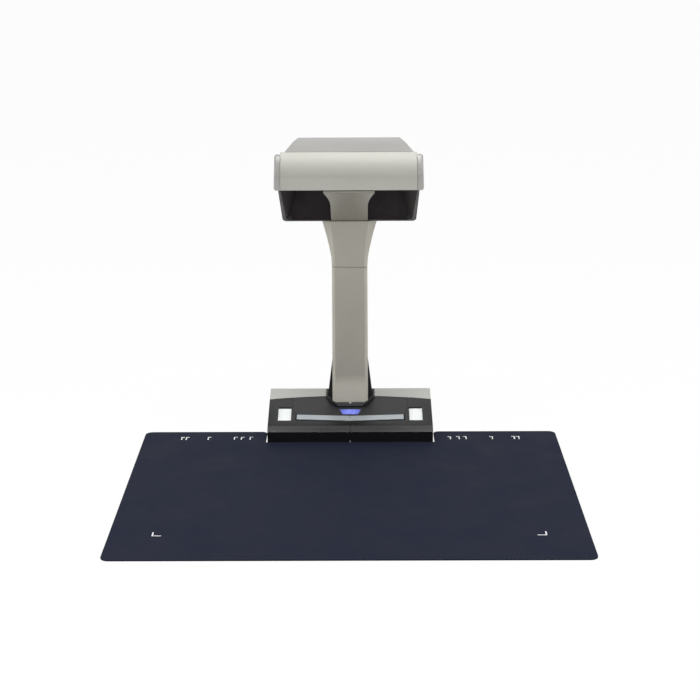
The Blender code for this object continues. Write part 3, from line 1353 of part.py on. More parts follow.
def make_drum(drum):
    half = DRUM_LENGTH / 2
    outline = drum_outline(DRUM_RADIUS, DRUM_FLAT)
    shell = part("scan_drum", prism(outline, -half, half, axis="X"), material_of("hood_black"), drum)
    inside = drum_outline(DRUM_RADIUS - DRUM_WALL, DRUM_FLAT - DRUM_WALL)
    combine(shell, prism(inside, -DRUM_LENGTH, DRUM_LENGTH, axis="X"), drum)
    hole = cylinder(LENS_RADIUS + FIT, -DRUM_RADIUS - LENS_PROUD, -DRUM_FLAT / 2)
    combine(shell, hole, drum)
    tip = -DRUM_FLAT - LENS_PROUD
    inner = LENS_RADIUS - LENS_WALL
    profile = [
        (inner, tip + LENS_LENGTH),
        (LENS_RADIUS, tip + LENS_LENGTH),
        (LENS_RADIUS, tip),
        (inner, tip),
    ]
    turned("lens_barrel", profile, material_of("component_black"), drum, closed=True)
    radius = inner - FIT
    turned("lens_glass", lens_profile(radius), material_of("glass"), drum, (0, 0, tip + GLASS_THICKNESS))
    for name, side in (("left", -1), ("right", 1)):
        lamp = box((LAMP_LENGTH, LAMP_WIDTH, LAMP_THICKNESS))
        place = (side * LAMP_OFFSET, 0, -DRUM_FLAT - FIT - LAMP_THICKNESS / 2)
        part(f"lamp_bar_{name}", lamp, material_of("lamp_white"), drum, place)
        near = half + FIT
        far = near + DRUM_END_THICKNESS
        ends = sorted((side * near, side * far))
        mesh = prism(outline, *ends, axis="X")
        cap = part(f"drum_end_{name}", mesh, material_of("component_black"), drum)
        ends = sorted((side * (near + far) / 2, side * (FRAME_HALF + FRAME_WALL)))
        combine(cap, cylinder(DRUM_SHAFT_RADIUS, *ends, "X"), drum, "UNION")
    chord = math.sqrt((DRUM_RADIUS - DRUM_WALL) ** 2 - (SENSOR_HEIGHT + BOARD_THICKNESS) ** 2) - FIT
    board = span(
        (-SENSOR_LENGTH / 2, -chord, SENSOR_HEIGHT),
        (SENSOR_LENGTH / 2, chord, SENSOR_HEIGHT + BOARD_THICKNESS),
    )
    part("sensor_board", board, material_of("board_green"), drum)


def involute(radius, base):
    """Involute angle of a tooth flank at a radius."""
    if radius <= base:
        return 0.0
    lean = math.acos(base / radius)
    return math.tan(lean) - lean


def tooth_points(teeth, centre):
    """One tooth of a gear, from root to root, about an angle."""
    pitch = GEAR_MODULE * teeth / 2
    base = pitch * math.cos(PRESSURE_ANGLE)
    root = pitch - GEAR_DEDENDUM
    tip = pitch + GEAR_ADDENDUM
    half = math.pi / (2 * teeth) - GEAR_BACKLASH / (2 * pitch) + involute(pitch, base)
    flank = [blend(root, tip, i / FLANK_STEPS) for i in range(FLANK_STEPS + 1)]
    angles = [half - involute(radius, base) for radius in flank]
    right = [(radius, centre - angle) for radius, angle in zip(flank, angles)]
    left = [(radius, centre + angle) for radius, angle in zip(reversed(flank), reversed(angles))]
    return [(radius * math.cos(angle), radius * math.sin(angle)) for radius, angle in right + left]


def round_hole(radius, steps=ROUND_STEPS):
    angles = [math.tau * i / steps for i in range(steps)]
    return [(radius * math.cos(angle), radius * math.sin(angle)) for angle in angles]


def make_drive(scanner, drum, pinion):
    step = math.tau / GEAR_TEETH
    mesh_angle = PINION_ANGLE - HOME_TILT
    outline = []
    for i in range(-SECTOR_BEFORE, SECTOR_AFTER + 1):
        outline += tooth_points(GEAR_TEETH, mesh_angle + i * step)
    root = GEAR_PITCH_RADIUS - GEAR_DEDENDUM
    start = mesh_angle + (SECTOR_AFTER + 1) * step
    end = mesh_angle - (SECTOR_BEFORE + 1) * step + math.tau
    steps = 18
    for i in range(steps + 1):
        angle = blend(start, end, i / steps)
        outline.append((root * math.cos(angle), root * math.sin(angle)))
    low = DRUM_LENGTH / 2 + 2 * FIT + DRUM_END_THICKNESS
    bore = round_hole(DRUM_SHAFT_RADIUS + RUNNING_FIT)
    gear = prism(outline, low, low + GEAR_WIDTH, axis="X", holes=(bore,))
    part("drum_gear", gear, material_of("gear_white"), drum)
    outline = []
    for i in range(PINION_TEETH):
        outline += tooth_points(PINION_TEETH, PINION_ANGLE + math.pi + (i + 0.5) * math.tau / PINION_TEETH)
    high = FRAME_HALF - FIT
    drive = part("motor_pinion", prism(outline, low, high, axis="X"), material_of("bronze"), pinion)
    shaft = cylinder(PINION_SHAFT_RADIUS, high - FIT, FRAME_HALF + MOTOR_LENGTH, "X", steps=24)
    combine(drive, shaft, pinion, "UNION")
    face = FRAME_HALF + FRAME_WALL + FIT
    body = cylinder(MOTOR_RADIUS, face, face + MOTOR_LENGTH, "X", (PINION_Y, PINION_HEIGHT))
    motor = part("scan_motor", body, material_of("steel"), scanner)
    flange = span(
        (face, PINION_Y, PINION_HEIGHT - MOTOR_FLANGE_WIDTH / 2),
        (face + MOTOR_FLANGE, PINION_Y + MOTOR_FLANGE_REACH, PINION_HEIGHT + MOTOR_FLANGE_WIDTH / 2),
    )
    combine(motor, flange, scanner, "UNION")
    bore_end = FRAME_HALF + MOTOR_LENGTH + FIT
    axis_place = (PINION_Y, PINION_HEIGHT)
    bore = cylinder(PINION_SHAFT_RADIUS + FIT, face - FIT, bore_end, "X", axis_place, 24)
    combine(motor, bore, scanner)
    for name, side in (("left", -1), ("right", 1)):
        profile = [
            (DRUM_SHAFT_RADIUS + RUNNING_FIT, FRAME_WALL / 2),
            (BUSH_RADIUS, FRAME_WALL / 2),
            (BUSH_RADIUS, -FRAME_WALL / 2),
            (DRUM_SHAFT_RADIUS + RUNNING_FIT, -FRAME_WALL / 2),
        ]
        place = (side * (FRAME_HALF + FRAME_WALL / 2), DRUM_Y, DRUM_HEIGHT)
        sideways = (0, math.pi / 2, 0)
        turned(f"bush_{name}", profile, material_of("bronze"), scanner, place, sideways, closed=True)


def head_board_top():
    return FRAME_BOTTOM + FRAME_WALL + POST_HEIGHT + FIT + BOARD_THICKNESS


def make_head_frame(scanner):
    outer = FRAME_HALF + FRAME_WALL
    rear = ARM_WEB_Y - FIT
    right = [
        (outer, rear),
        (outer, FRAME_FRONT_Y),
        (FRAME_HALF, FRAME_FRONT_Y),
        (FRAME_HALF, rear - FRAME_WALL),
    ]
    outline = right + [(-x, y) for x, y in reversed(right)]
    frame = part("head_frame", prism(outline, FRAME_BOTTOM, FRAME_TOP), material_of("steel"), scanner)
    floor = span(
        (-FRAME_HALF - FRAME_WALL / 2, FRAME_FLOOR_FRONT_Y, FRAME_BOTTOM),
        (FRAME_HALF + FRAME_WALL / 2, rear - FRAME_WALL / 2, FRAME_BOTTOM + FRAME_WALL),
    )
    combine(frame, floor, scanner, "UNION")
    board_y = (FRAME_FLOOR_FRONT_Y + rear) / 2
    floor_top = FRAME_BOTTOM + FRAME_WALL
    for side_x in (-1, 1):
        for side_y in (-1, 1):
            x = side_x * (HEAD_BOARD_WIDTH / 2 - POST_SIZE)
            y = board_y + side_y * (HEAD_BOARD_DEPTH / 2 - POST_SIZE)
            post = span(
                (x - POST_SIZE / 2, y - POST_SIZE / 2, floor_top - FIT),
                (x + POST_SIZE / 2, y + POST_SIZE / 2, floor_top + POST_HEIGHT),
            )
            combine(frame, post, scanner, "UNION")
    notch_half = 2 * HARNESS_RADIUS
    notch = span(
        (-notch_half, rear - 2 * FRAME_WALL, ARM_FRAME_TOP - CABLE_NOTCH),
        (notch_half, rear + FIT, FRAME_TOP + FIT),
    )
    combine(frame, notch, scanner)
    for side in (-1, 1):
        ends = sorted((side * (FRAME_HALF - FIT), side * (outer + FIT)))
        hole = cylinder(BUSH_RADIUS + SCREW_FIT, *ends, "X", (DRUM_Y, DRUM_HEIGHT))
        combine(frame, hole, scanner)
    shaft_hole = cylinder(
        PINION_SHAFT_RADIUS + 2 * FIT, FRAME_HALF - FIT, outer + FIT, "X", (PINION_Y, PINION_HEIGHT), 24
    )
    combine(frame, shaft_hole, scanner)
    for i, (x, z) in enumerate(frame_screw_places()):
        hole = cylinder(SCREW_RADIUS + SCREW_FIT, rear - 2 * FRAME_WALL, rear + FIT, "Y", (x, z), 16)
        screw_cut = combine(frame, hole, scanner)
        screw_cut.solver = "MANIFOLD"
        head = rear - FRAME_WALL - SCREW_HEAD_HEIGHT
        name = ("left", "right")[i]
        make_screw(f"frame_screw_{name}", scanner, (x, head, z), (math.pi / 2, 0, 0))
    top = head_board_top()
    board = span(
        (-HEAD_BOARD_WIDTH / 2, board_y - HEAD_BOARD_DEPTH / 2, top - BOARD_THICKNESS),
        (HEAD_BOARD_WIDTH / 2, board_y + HEAD_BOARD_DEPTH / 2, top),
    )
    part("head_board", board, material_of("board_green"), scanner)


def main():
    clear_scene()
    scanner = empty("scanner", (0, BASE_FRONT_Y, 0))
    panel = empty("panel", (0, BAND_DEPTH, BAND_TOP), scanner, (PANEL_SLOPE, 0, 0))
    scan_axis = empty("scan_button_axis", (0, along(BAR_FRONT_Y) + BAR_DEPTH / 2, 0), panel)
    stop_axis = empty("stop_button_axis", (0, along(STOP_FRONT_Y) + STOP_DEPTH / 2, 0), panel)
    drum = empty("drum_axis", (0, DRUM_Y, DRUM_HEIGHT), scanner, (HOME_TILT, 0, 0))
    pinion = empty("pinion_axis", (0, PINION_Y, PINION_HEIGHT), scanner)
    make_mat(scanner)
    make_front_covers(scanner, panel)
    make_control_panel(scanner, panel)
    make_buttons(panel, scan_axis, stop_axis)
    make_collar(scanner, panel)
    make_rear_cover(scanner)
    make_floor(scanner)
    make_electronics(scanner, panel)
    make_arm_frame(scanner)
    make_arm_covers(scanner)
    make_harness(scanner)
    make_head_frame(scanner)
    make_housing(scanner)
    make_saddle(scanner)
    make_visor(scanner)
    make_side_caps(scanner)
    make_top_cover(scanner)
    make_drum(drum)
    make_drive(scanner, drum, pinion)


main()
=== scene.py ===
"""Finishes, printed marks and white studio for the overhead book scanner.

Laid out as a Blender add-on that is run as a script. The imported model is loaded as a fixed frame, every CAD
node gets rounded edges and a procedural finish, the few printed marks are added as thin plates, and a camera
and lamps are set up as in the photograph. All lengths are in metres.
"""

import math

import bmesh
import bpy
from bpy.props import FloatProperty, FloatVectorProperty, PointerProperty
from bpy.types import Operator, Panel, PropertyGroup
from mathutils import Euler, Matrix, Vector


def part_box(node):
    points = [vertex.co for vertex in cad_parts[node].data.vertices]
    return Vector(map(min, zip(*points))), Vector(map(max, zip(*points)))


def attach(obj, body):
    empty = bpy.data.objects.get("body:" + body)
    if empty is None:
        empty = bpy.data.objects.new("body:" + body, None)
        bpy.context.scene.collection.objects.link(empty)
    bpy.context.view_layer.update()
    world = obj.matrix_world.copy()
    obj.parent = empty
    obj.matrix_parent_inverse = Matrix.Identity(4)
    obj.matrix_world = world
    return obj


bl_info = {
    "name": "Book Scanner Dresser",
    "version": (1, 0, 0),
    "blender": (4, 5, 0),
    "location": "3D View > Sidebar > Scanner",
    "description": "Finishes, printed marks and a white studio for an overhead book scanner",
    "category": "Object",
}

SIDES = ("left", "right")
CORNERS = ("front_left", "front_right", "rear_left", "rear_right")

# Widths of the common page formats that the mat's ticks and corners are set out for
TICK_WIDTHS = (0.4318, 0.4200, 0.3640, 0.2970, 0.2794, 0.2570)
WIDEST_PAGE = max(TICK_WIDTHS)

# Places of marks on a key, as shares of its depth from the front
KEY_MIDDLE = 0.5
STOP_SYMBOL_SHARE = 0.3

# Rounded edges: corners that are welded, edges that are rounded, and how finely
WELD_REACH = 0.00001
EDGE_ANGLE = math.radians(26)
EDGE_STEPS = 3
FLAT_FACE_WEIGHT = 100
CREASE_REACH = 0.0002

# A face whose normal rises by more than this looks upward
UPWARD = 0.5

# Texture values between which a tone goes from dark to light
TONE_START = 0.32
TONE_END = 0.68

# Pointiness of a flat face and of a raised edge
FLAT_POINT = 0.51
EDGE_POINT = 0.60

COAT_ROUGHNESS = 0.12
MOULD_GRAIN = 1400
MOULD_DEPTH = 0.00005

# The power light: share of its half width that stays bright, and how dark its plastic is beside its glow
GLOW_MIDDLE = 0.35
GLOW_BODY = 0.25

SENSOR_WIDTH = 36
# The lamps aim at the front of the column's foot, the side panels higher up
COLUMN_FOOT = Vector((0, 0.19, 0.07))
FILL_LIFT = Vector((0, 0, 0.15))

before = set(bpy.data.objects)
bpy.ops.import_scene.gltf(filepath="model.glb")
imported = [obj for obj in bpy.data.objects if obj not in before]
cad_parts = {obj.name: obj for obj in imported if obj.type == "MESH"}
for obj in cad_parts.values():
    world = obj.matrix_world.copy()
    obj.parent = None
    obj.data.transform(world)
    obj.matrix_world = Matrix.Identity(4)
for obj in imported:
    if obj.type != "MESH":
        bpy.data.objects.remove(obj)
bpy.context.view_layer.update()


# Settings


def colour(name, description, default):
    """A colour setting, in linear values."""
    return FloatVectorProperty(
        name=name, description=description, default=default, subtype="COLOR", size=3, min=0, max=1
    )


def length(name, description, default):
    """A length setting, in metres."""
    return FloatProperty(
        name=name,
        description=description,
        default=default,
        min=0,
        subtype="DISTANCE",
        unit="LENGTH",
        precision=5,
    )


def angle(name, description, degrees):
    """An angle setting, given in degrees and kept in radians."""
    return FloatProperty(
        name=name, description=description, default=math.radians(degrees), subtype="ANGLE", unit="ROTATION"
    )


def factor(name, description, default):
    """A share from nothing to the whole."""
    return FloatProperty(
        name=name, description=description, default=default, min=0, max=1, subtype="FACTOR"
    )


def watts(name, description, default):
    """The power of one lamp."""
    return FloatProperty(name=name, description=description, default=default, min=0, unit="POWER")


class ScannerColours(PropertyGroup):
    """Base colours of the finishes."""

    visor: colour("Visor", "Silver lacquer of the head's front", (0.322, 0.317, 0.289))
    arm: colour("Arm", "Silver lacquer of the neck and the column", (0.52, 0.503, 0.43))
    # Painted shade: the saddle's silver is the arm's silver darkened to 0.73 of its tone, standing in for the
    # shade under the head
    saddle: colour("Saddle", "Silver lacquer of the saddle under the head", (0.3796, 0.36719, 0.3139))
    spine: colour("Arm rear", "Dark plastic of the arm's rear cover and its fins", (0.026, 0.026, 0.027))
    base_silver: colour("Base silver", "Silver lacquer of the base's rear cover", (0.50, 0.50, 0.475))
    top: colour("Head top", "Grey plastic of the head's top and side caps", (0.275, 0.270, 0.258))
    hood: colour("Hood", "Black plastic of the hood under the head", (0.036, 0.030, 0.0315))
    cover: colour("Covers", "Black plastic of the base's front covers", (0.006, 0.006, 0.0065))
    panel: colour("Panel", "Black plastic of the control panel", (0.012, 0.012, 0.0125))
    scan_bar: colour("Scan bar", "Silver lacquer of the scan bar", (0.35, 0.38, 0.40))
    light: colour("Light", "Glow of the power light", (0.24, 0.30, 0.99))
    light_end: colour("Light's ends", "Glow at the power light's ends", (0.035, 0.06, 0.36))
    glow: factor("Glow", "Strength of the power light", 0.59)
    reference: colour("White reference", "White tiles for balancing the colours", (0.84, 0.87, 0.86))
    mat: colour("Mat", "Upper face of the page mat", (0.0091, 0.0112, 0.0230))
    # Painted highlight: this lighter tone of the front band stands in for the overhead light that the band's
    # steeper face catches; the band is not rubbed
    band: colour("Front band", "Rubbed, lighter band along the base's front edge", (0.040, 0.040, 0.0415))
    # Painted shadow: a dark line round the scan bar, standing in for the shade in the gap under and beside
    # the bar
    painted_shadow_line: colour("Surround", "Dark line round the scan bar", (0.0015, 0.0015, 0.0016))
    print_white: colour("White print", "Marks printed on the mat", (0.80, 0.80, 0.80))
    print_dark: colour("Dark print", "Symbols printed on the keys", (0.05, 0.05, 0.055))
    board: colour("Circuit board", "Solder resist of the boards", (0.012, 0.11, 0.045))
    rubber: colour("Rubber", "Feet and the harness's jacket", (0.018, 0.018, 0.019))
    steel: colour("Steel", "Sheet steel frames, screws and sockets", (0.52, 0.53, 0.55))
    ballast: colour("Ballast", "Mill scale on the ballast plate", (0.364, 0.371, 0.385))
    bronze: colour("Bronze", "Sintered bushes", (0.47, 0.28, 0.12))
    nylon: colour("Gears", "Moulded gears", (0.72, 0.70, 0.62))
    lens: colour("Lens", "Coated glass of the lens", (0.05, 0.03, 0.09))
    lamp: colour("Lamp", "Diffuser of the reading lamps", (0.82, 0.83, 0.80))


class ScannerSizes(PropertyGroup):
    """Sizes of what is added to the solids."""

    shell_edge: length("Shell edge", "Rounding on the edges of the outer shells", 0.0007)
    small_edge: length("Small edge", "Rounding on the edges of keys and small pieces", 0.00035)
    inner_edge: length("Inner edge", "Rounding on the edges of the inner works", 0.0002)
    visor_band: length("Visor band", "Height of the visor's flared band, up to its crease", 0.0126)
    band_low: length("Band bottom", "Height where the front band begins", 0.0146)
    band_high: length("Band top", "Height where the front band ends", 0.0203)
    print_line: length("Print line", "Width of a printed line", 0.0015)
    # Also how far the painted shadow line round the scan bar stands above the panel
    print_and_shadow_depth: length("Print depth", "How far a printed mark stands above its face", 0.00006)
    corner_leg: length("Corner leg", "Length of each leg of the mat's corner marks", 0.0105)
    corner_front: length("Corner distance", "Distance from the base's front to the mat's corner marks", 0.302)
    tick_length: length("Tick length", "Length of the mat's page ticks", 0.0100)
    tick_foot: length("Tick foot", "Length of the short foot on each page tick", 0.0045)
    tick_rear: length("Tick distance", "Distance from the mat's far edge to the page ticks", 0.0200)
    symbol: length("Symbol", "Width of the symbols on the keys", 0.0022)
    # Place and width of the painted shadow line round the scan bar
    painted_shadow_gap: length("Surround gap", "Gap between the scan bar and the dark line round it", 0.0005)
    painted_shadow_width: length("Surround line", "Width of the dark line round the scan bar", 0.0011)


class ScannerStage(PropertyGroup):
    """Camera, lamps and surroundings."""

    camera_side: length("Camera side", "Camera's offset to the right of the middle", 0.010)
    camera_front: length("Camera distance", "Camera's distance in front of the base's front edge", 1.929)
    camera_height: length("Camera height", "Camera's height over the table", 0.701)
    camera_pitch: angle("Camera pitch", "How far the camera looks down", 16.7)
    camera_yaw: angle("Camera yaw", "How far the camera turns to the left", 0.290)
    camera_roll: angle("Camera roll", "How far the camera is tilted", -0.27)
    focal: FloatProperty(
        name="Focal length", description="On a 36 mm sensor", default=82.98, min=1, unit="CAMERA"
    )
    key_power: watts("Key power", "Strip softbox over the front", 31.5)
    key_rise: angle("Key rise", "Height of the key over the horizon", 66.8)
    key_length: length("Key length", "Length of the key's strip", 1.6)
    key_width: length("Key width", "Width of the key's strip", 0.03)
    fill_power: watts("Fill power", "Soft panel on each side", 11.0)
    fill_side: length("Fill side", "Distance of each side panel from the middle", 1.7)
    fill_front: length("Fill front", "Distance of the side panels in front of the origin", 0.4)
    fill_height: length("Fill height", "Height of the side panels over the table", 0.7)
    top_power: watts("Top power", "Soft panel straight above", 3.5)
    panel_size: length("Panel size", "Side of the soft panels", 1.0)
    lamp_reach: length("Lamp distance", "Distance of the key and the top panel from what they light", 2.0)
    ambient: factor("Ambient", "Soft light from all sides", 0.21)
    floor: colour("Floor", "Pale floor under the part", (0.86, 0.86, 0.86))
    floor_white: factor("Floor white", "Share of the floor that the camera sees as plain white", 0.965)
    floor_half: length("Floor reach", "Half the side of the floor", 25.0)


# Finishes


class Finish:
    """One procedural material: a Principled shader and the textures that feed it."""

    def __init__(self, name, metallic=0.0, specular=0.5, coat=0.0):
        self.material = bpy.data.materials.new(name)
        self.material.use_nodes = True
        self.tree = self.material.node_tree
        self.shader = self.tree.nodes["Principled BSDF"]
        self.place = self.node("TexCoord").outputs["Object"]
        self.normal = None
        self.fix("Metallic", metallic)
        self.fix("Specular IOR Level", specular)
        self.fix("Coat Weight", coat)
        self.fix("Coat Roughness", COAT_ROUGHNESS)

    def node(self, kind, **settings):
        """Add a shader node with these settings."""
        made = self.tree.nodes.new("ShaderNode" + kind)
        for key, value in settings.items():
            setattr(made, key, value)
        return made

    def fix(self, socket, value):
        """Set one of the shader's own values."""
        self.shader.inputs[socket].default_value = value

    def feed(self, source, socket):
        """Join a texture to one of the shader's values."""
        self.tree.links.new(source, self.shader.inputs[socket])

    def stretched(self, stretch):
        """The place on the piece, stretched along its axes."""
        mapping = self.node("Mapping")
        mapping.inputs["Scale"].default_value = stretch
        self.tree.links.new(self.place, mapping.inputs["Vector"])
        return mapping.outputs["Vector"]

    def noise(self, scale, detail=3.0, rough=0.55, stretch=(1, 1, 1)):
        """Cloudy noise with so many cells per metre."""
        made = self.node("TexNoise")
        made.inputs["Scale"].default_value = scale
        made.inputs["Detail"].default_value = detail
        made.inputs["Roughness"].default_value = rough
        self.tree.links.new(self.stretched(stretch), made.inputs["Vector"])
        return made.outputs["Fac"]

    def cells(self, scale):
        """Distance to the nearest of so many points per metre."""
        made = self.node("TexVoronoi")
        made.inputs["Scale"].default_value = scale
        self.tree.links.new(self.place, made.inputs["Vector"])
        return made.outputs["Distance"]

    def axis(self, name):
        """One coordinate of the place on the piece, in metres."""
        split = self.node("SeparateXYZ")
        self.tree.links.new(self.place, split.inputs[0])
        return split.outputs[name]

    def edges(self):
        """High along raised edges, low elsewhere."""
        pointed = self.node("NewGeometry").outputs["Pointiness"]
        return self.spread(pointed, low=0, high=1, start=FLAT_POINT, end=EDGE_POINT)

    def spread(self, source, low, high, start=0.3, end=0.7):
        """Map start..end of a texture to low..high."""
        made = self.node("MapRange")
        self.tree.links.new(source, made.inputs["Value"])
        for socket, value in (("From Min", start), ("From Max", end), ("To Min", low), ("To Max", high)):
            made.inputs[socket].default_value = value
        return made.outputs["Result"]

    def add(self, *parts):
        """Weighted sum of textures, given as (texture, weight)."""
        total = None
        for source, weight in parts:
            step = self.node("Math", operation="MULTIPLY_ADD")
            self.tree.links.new(source, step.inputs[0])
            step.inputs[1].default_value = weight
            step.inputs[2].default_value = 0
            if total:
                self.tree.links.new(total, step.inputs[2])
            total = step.outputs[0]
        return total

    def ramp(self, source, *stops):
        """Colours along a texture, given as (position, colour)."""
        made = self.node("ValToRGB")
        points = made.color_ramp.elements
        while len(points) < len(stops):
            points.new(0.5)
        for point, (position, shade) in zip(points, stops):
            point.position = position
            point.color = (*shade, 1)
        self.tree.links.new(source, made.inputs["Fac"])
        return made.outputs["Color"]

    def tone(self, base, change, source):
        """Base colour that a texture makes a little darker and lighter."""
        dark = [channel * (1 - change) for channel in base]
        light = [min(channel * (1 + change), 1) for channel in base]
        self.feed(self.ramp(source, (TONE_START, dark), (TONE_END, light)), "Base Color")

    def stripe(self, low, high, shade):
        """Give the part of the piece between two heights another base colour."""
        height = self.axis("Z")
        above = self.node("Math", operation="GREATER_THAN")
        below = self.node("Math", operation="LESS_THAN")
        both = self.node("Math", operation="MULTIPLY")
        mix = self.node("Mix", data_type="RGBA")
        plain, striped = [socket for socket in mix.inputs if socket.type == "RGBA"]
        mixed = next(socket for socket in mix.outputs if socket.type == "RGBA")
        for test, limit, socket in ((above, low, 0), (below, high, 1)):
            self.tree.links.new(height, test.inputs[0])
            test.inputs[1].default_value = limit
            self.tree.links.new(test.outputs[0], both.inputs[socket])
        self.tree.links.new(both.outputs[0], mix.inputs["Factor"])
        self.tree.links.new(self.shader.inputs["Base Color"].links[0].from_socket, plain)
        striped.default_value = (*shade, 1)
        self.feed(mixed, "Base Color")

    def roughness(self, source, low, high):
        """Let a texture vary the roughness between two values."""
        self.feed(self.spread(source, low, high), "Roughness")

    def bump(self, height, depth):
        """Raise the surface by a texture, on top of the bumps so far."""
        made = self.node("Bump")
        made.inputs["Distance"].default_value = depth
        self.tree.links.new(height, made.inputs["Height"])
        if self.normal:
            self.tree.links.new(self.normal, made.inputs["Normal"])
        self.normal = made.outputs["Normal"]
        self.feed(self.normal, "Normal")


def lacquer(name, base, metallic=0.35, rough=0.36):
    """Silver lacquer: fine flake, a slow drift of tone, sprayed orange peel and edges rubbed lighter."""
    finish = Finish(name, metallic)
    flake = finish.cells(2400)
    drift = finish.noise(11, detail=4)
    peel = finish.noise(420, detail=2)
    mottle = finish.add((drift, 0.6), (flake, 0.5), (finish.edges(), 0.25))
    finish.tone(base, change=0.10, source=mottle)
    finish.roughness(finish.add((drift, 0.5), (peel, 0.5)), low=rough - 0.05, high=rough + 0.06)
    finish.bump(peel, depth=0.00003)
    return finish.material


def moulded(name, base, rough=0.5, specular=0.4, metallic=0.0, band=None):
    """Moulded plastic: spark-eroded grain, faint flow clouds, and edges polished by handling.

    A band, given as (low, high, colour), is a level stripe of the piece in another tone; the front covers use
    it as a painted highlight.
    """
    finish = Finish(name, metallic, specular)
    pits = finish.noise(MOULD_GRAIN, rough=0.6)
    cloud = finish.noise(18, detail=4)
    mottle = finish.add((cloud, 0.55), (pits, 0.45), (finish.edges(), 0.3))
    finish.tone(base, change=0.14, source=mottle)
    if band:
        finish.stripe(*band)
    worn = finish.add((cloud, 0.4), (pits, 0.6), (finish.edges(), -0.35))
    finish.roughness(worn, low=rough - 0.07, high=rough + 0.08)
    finish.bump(pits, depth=MOULD_DEPTH)
    return finish.material


def polished(name, base, rough, specular=0.5):
    """Polished black plastic: hairline scuffs and a little dust in the tone."""
    finish = Finish(name, specular=specular)
    scuff = finish.noise(260, detail=5, rough=0.7, stretch=(1, 6, 6))
    dust = finish.noise(60, detail=5, rough=0.65)
    mottle = finish.add((dust, 0.7), (scuff, 0.3), (finish.edges(), 0.3))
    finish.tone(base, change=0.25, source=mottle)
    finish.roughness(finish.add((dust, 0.5), (scuff, 0.5)), low=rough - 0.04, high=rough + 0.09)
    finish.bump(scuff, depth=0.00001)
    return finish.material


def mat_sheet(name, base):
    """Page mat: fine woven face, slow mottling and a trace of wear."""
    finish = Finish(name, specular=0.08)
    mottle = finish.noise(16, detail=5, rough=0.6)
    speck = finish.noise(900, rough=0.7)
    across = finish.noise(700, detail=1, rough=0.5, stretch=(1, 0.12, 1))
    along = finish.noise(700, detail=1, rough=0.5, stretch=(0.12, 1, 1))
    worn = finish.add((mottle, 0.55), (speck, 0.25), (across, 0.12), (along, 0.12))
    finish.tone(base, change=0.16, source=worn)
    finish.roughness(mottle, low=0.62, high=0.78)
    finish.bump(finish.add((across, 0.5), (along, 0.5)), depth=0.00012)
    return finish.material


def printed(name, base):
    """Screen-printed ink: pinholes and an uneven coat."""
    finish = Finish(name, specular=0.3)
    coat = finish.noise(500, detail=4, rough=0.6)
    finish.tone(base, change=0.10, source=coat)
    finish.roughness(coat, low=0.5, high=0.68)
    finish.bump(coat, depth=0.00002)
    return finish.material


def glowing(name, middle, ends, reach, strength):
    """Light guide: brightest over its lamp and deeper towards its ends, clouded by the diffusing plastic."""
    finish = Finish(name, specular=0.4)
    span = finish.node("Math", operation="ABSOLUTE")
    finish.tree.links.new(finish.axis("X"), span.inputs[0])
    cloud = finish.noise(240)
    outward = finish.spread(span.outputs[0], low=0, high=1, start=GLOW_MIDDLE * reach, end=reach)
    fall = finish.add((outward, 0.9), (cloud, 0.12))
    finish.feed(finish.ramp(fall, (0.05, middle), (0.95, ends)), "Emission Color")
    finish.fix("Emission Strength", strength)
    finish.tone([GLOW_BODY * channel for channel in middle], change=0.15, source=cloud)
    finish.roughness(cloud, low=0.22, high=0.34)
    return finish.material


def ceramic(name, base):
    """White reference tile or diffuser: even and matt, with the finest speckle."""
    finish = Finish(name, specular=0.3)
    speck = finish.noise(1500, rough=0.6)
    cloud = finish.noise(40)
    finish.tone(base, change=0.025, source=finish.add((speck, 0.5), (cloud, 0.5)))
    finish.roughness(speck, low=0.44, high=0.6)
    finish.bump(speck, depth=0.00002)
    return finish.material


def rubber(name, base):
    """Moulded rubber: dull, bloomed and finely pitted."""
    finish = Finish(name, specular=0.25)
    bloom = finish.noise(120, detail=5, rough=0.65)
    pits = finish.noise(1600, detail=2)
    finish.tone(base, change=0.3, source=finish.add((bloom, 0.7), (pits, 0.3)))
    finish.roughness(bloom, low=0.68, high=0.88)
    finish.bump(pits, depth=0.00006)
    return finish.material


def rolled(name, base, rough=0.34, stretch=(1, 24, 24)):
    """Rolled or drawn metal: streaks along the rolling direction and light smudges."""
    finish = Finish(name, metallic=1.0)
    streak = finish.noise(90, detail=4, rough=0.6, stretch=stretch)
    smudge = finish.noise(45, detail=4, rough=0.6)
    finish.tone(base, change=0.12, source=finish.add((streak, 0.6), (smudge, 0.4)))
    finish.roughness(finish.add((streak, 0.6), (smudge, 0.4)), low=rough - 0.09, high=rough + 0.12)
    finish.bump(streak, depth=0.00002)
    return finish.material


def sintered(name, base):
    """Sintered metal: grainy, with darker pores."""
    finish = Finish(name, metallic=1.0)
    pores = finish.cells(3200)
    cloud = finish.noise(160)
    finish.tone(base, change=0.28, source=finish.add((pores, 0.7), (cloud, 0.5)))
    finish.roughness(pores, low=0.36, high=0.56)
    finish.bump(pores, depth=0.00004)
    return finish.material


def laminate(name, base):
    """Circuit board: solder resist over a glass weave and the faint relief of its tracks."""
    finish = Finish(name)
    weave_x = finish.noise(900, detail=1, rough=0.5, stretch=(0.1, 1, 1))
    weave_y = finish.noise(900, detail=1, rough=0.5, stretch=(1, 0.1, 1))
    tracks = finish.cells(260)
    finish.tone(base, change=0.35, source=finish.add((tracks, 0.6), (weave_x, 0.25), (weave_y, 0.25)))
    finish.roughness(tracks, low=0.26, high=0.42)
    finish.bump(finish.add((weave_x, 0.3), (weave_y, 0.3), (tracks, 0.5)), depth=0.00004)
    return finish.material


